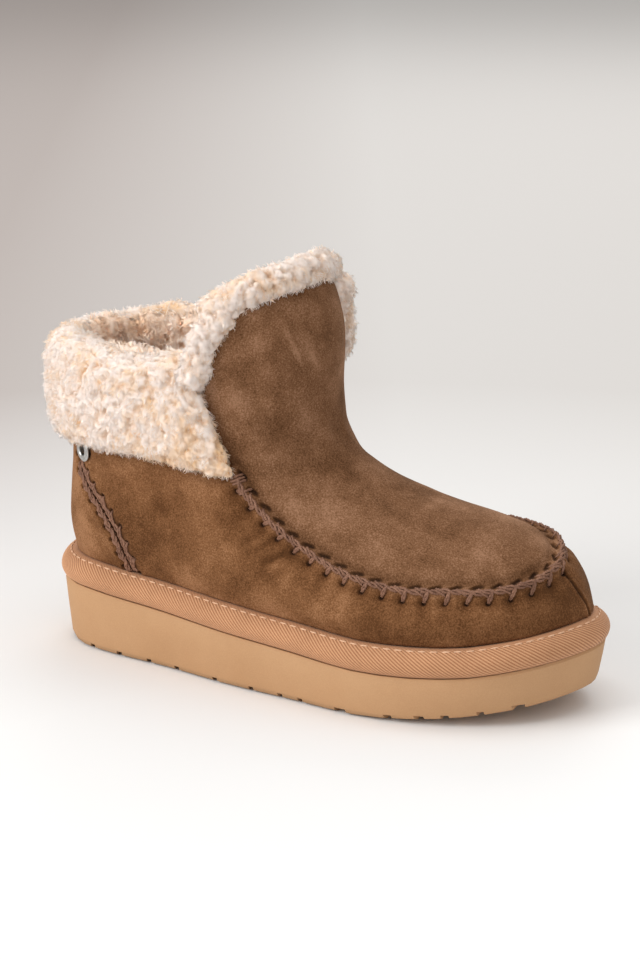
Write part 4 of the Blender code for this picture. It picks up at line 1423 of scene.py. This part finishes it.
# %% Stitches on the tape
TAPE_STITCH_PITCH = 5.4
TAPE_STITCH_SIZE = (3.7, 0.85, 0.7)
TAPE_STITCH_PLACE = (-2.9, 11.55)
TAPE_FALL = 0.6

bpy.ops.object.select_all(action="DESELECT")
bpy.ops.mesh.primitive_uv_sphere_add(segments=8, ring_count=6, radius=0.5)
grain = bpy.context.object
edit(grain, "SELECT")
bpy.ops.transform.rotate(value=pi / 2, orient_axis="Y", center_override=(0, 0, 0))
bpy.ops.transform.resize(value=[v * MM for v in TAPE_STITCH_SIZE])
leave()
stitch_points, stitch_faces = take_shape(grain)

count = round(SOLE_ROUND / MM / TAPE_STITCH_PITCH)
runs = np.arange(count) / count * SOLE_ROUND
out, up = (value * MM for value in TAPE_STITCH_PLACE)
centre = round_sole(runs, out, up)
ahead = unit(round_sole(runs + MM, out, up) - round_sole(runs - MM, out, up))
aside = unit(round_sole(runs, out + MM, up - TAPE_FALL * MM) - centre)
above = np.cross(aside, ahead)
above *= np.sign(above[:, 2:])
placed = centre[:, None] + turned(stitch_points[None], ahead, aside, above)
tape_stitches = repeat_shape("tape_stitches", placed, stitch_faces)
face_outwards(tape_stitches)
print(f"tape stitches: {count}")

# %% Footbed: pressed flat in places, with a short pile
FOOTBED_VOXEL = 1.7 * MM
PRESSED = ((0.6, 30.0, 54),)
FOOT_TUFT = 4.0
FOOT_TUFT_HEIGHT = 0.7
FOOT_SINK = 0.5

footbed = copy_node("insole", "footbed_pile", 1)
add_remesh(footbed, FOOTBED_VOXEL)
apply_all(footbed)
points, out = points_of(footbed), normals_of(footbed)
heads = clumps(points + drifting(points, DRIFT_SIZE, 50) * MM, FOOT_TUFT)
raised = layered(points, PRESSED) + FOOT_TUFT_HEIGHT * heads - FOOT_SINK
upper_side = np.clip(out[:, 2], 0, 1)
set_points(footbed, points + out * (raised * upper_side * MM)[:, None])
# painted shade: the footbed's pile is darker in the hollows between its tufts
paint(footbed.data, tip=0.1 + 0.5 * heads, warm=np.full(len(points), 0.5))
print(f"footbed: tufts up to {heads.max() * FOOT_TUFT_HEIGHT:.1f} mm")


# %% Looks of tape, thread and cord
VARIED_SPAN = (0.36, 0.64)


def varied(tree, cloud, dark, light):
    """Two colours mixed by a cloudy mask; cloud holds its two scales and its speckle share."""
    return ramp(tree, cloudy(tree, *cloud), tuple(zip(VARIED_SPAN, (dark, light))))


def dress(look, colour, grain):
    """Give a look its colour and relief; grain holds the relief's scale, strength and distance."""
    material, tree, shader = look
    tree.links.new(colour, shader.inputs["Base Color"])
    relief(tree, shader, *grain)
    return material


look = start_look("tape", Roughness=0.8, Specular_IOR_Level=0.25, Sheen_Weight=0.1)
tree = look[1]
ribbed = ramp(tree, stored(tree, "rib"), ((0.0, (0.36, 0.155, 0.068)), (0.45, (0.54, 0.265, 0.132)),
                                          (1.0, (0.68, 0.375, 0.205))))
cloth = varied(tree, (60.0, 2200.0, 0.6), (0.78, 0.76, 0.74), (1.0, 1.0, 1.0))
colour = mixed(tree, 1.0, ribbed, cloth, "MULTIPLY")
finish(tape, [dress(look, colour, (3000.0, 0.35, 0.0003))], ["midsole"])

look = start_look("pale_thread", Roughness=0.7, Specular_IOR_Level=0.3)
colour = varied(look[1], (200.0, 3000.0, 0.6), (0.60, 0.34, 0.20), (0.80, 0.52, 0.34))
finish(tape_stitches, [dress(look, colour, (4000.0, 0.4, 0.0002))])

look = start_look("waxed_cord", Roughness=0.6, Specular_IOR_Level=0.35)
colour = varied(look[1], (160.0, 2600.0, 0.6), (0.120, 0.050, 0.029), (0.35, 0.178, 0.108))
cord_look = dress(look, colour, (4200.0, 0.5, 0.0002))
finish(moccasin_cord, [cord_look])
finish(heel_cord, [cord_look])

# %% The foam sole, darker towards the floor
SOLE_EDGE = radians(40)
DARK_BAND_HEIGHT = 3.5 * MM
BOTTOM_DARKNESS = 0.62

look = start_look("foam", Roughness=0.78, Specular_IOR_Level=0.3)
tree = look[1]
height = add_node(tree, "ShaderNodeSeparateXYZ", {"Vector": place_in(tree)}).outputs["Z"]
even_foam = varied(tree, (24.0, 1800.0, 0.5), (0.45, 0.250, 0.122), (0.52, 0.305, 0.158))
colour = mixed(tree, 1.0, even_foam, mapped(tree, height, 0.0, DARK_BAND_HEIGHT, BOTTOM_DARKNESS, 1.0), "MULTIPLY")
foam_sole = copy_node("outsole", "foam_sole", 0)
face_outwards(foam_sole)
finish(foam_sole, [dress(look, colour, (2400.0, 0.25, 0.0003))], ["outsole"])
only(foam_sole)
bpy.ops.object.shade_smooth_by_angle(angle=SOLE_EDGE)

# %% Nickel on the eyelet, and the footbed's look
nickel_look, tree, shader = start_look("nickel", Metallic=1.0)
scuffs = cloudy(tree, 500.0, 4000.0, 0.5)
worn = ramp(tree, scuffs, tuple(zip(VARIED_SPAN, ((0.34, 0.33, 0.31), (0.62, 0.61, 0.59)))))
tree.links.new(worn, shader.inputs["Base Color"])
tree.links.new(mapped(tree, scuffs, 0.35, 0.65, 0.22, 0.45), shader.inputs["Roughness"])
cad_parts["eyelet"].material_slots[0].material = nickel_look
footbed_look = pile_look("footbed_pile", (0.42, 0.29, 0.18), (0.60, 0.45, 0.30), (0.80, 0.66, 0.50),
                         (0.55, 0.38, 0.23))
finish(footbed, [footbed_look], ["insole"])
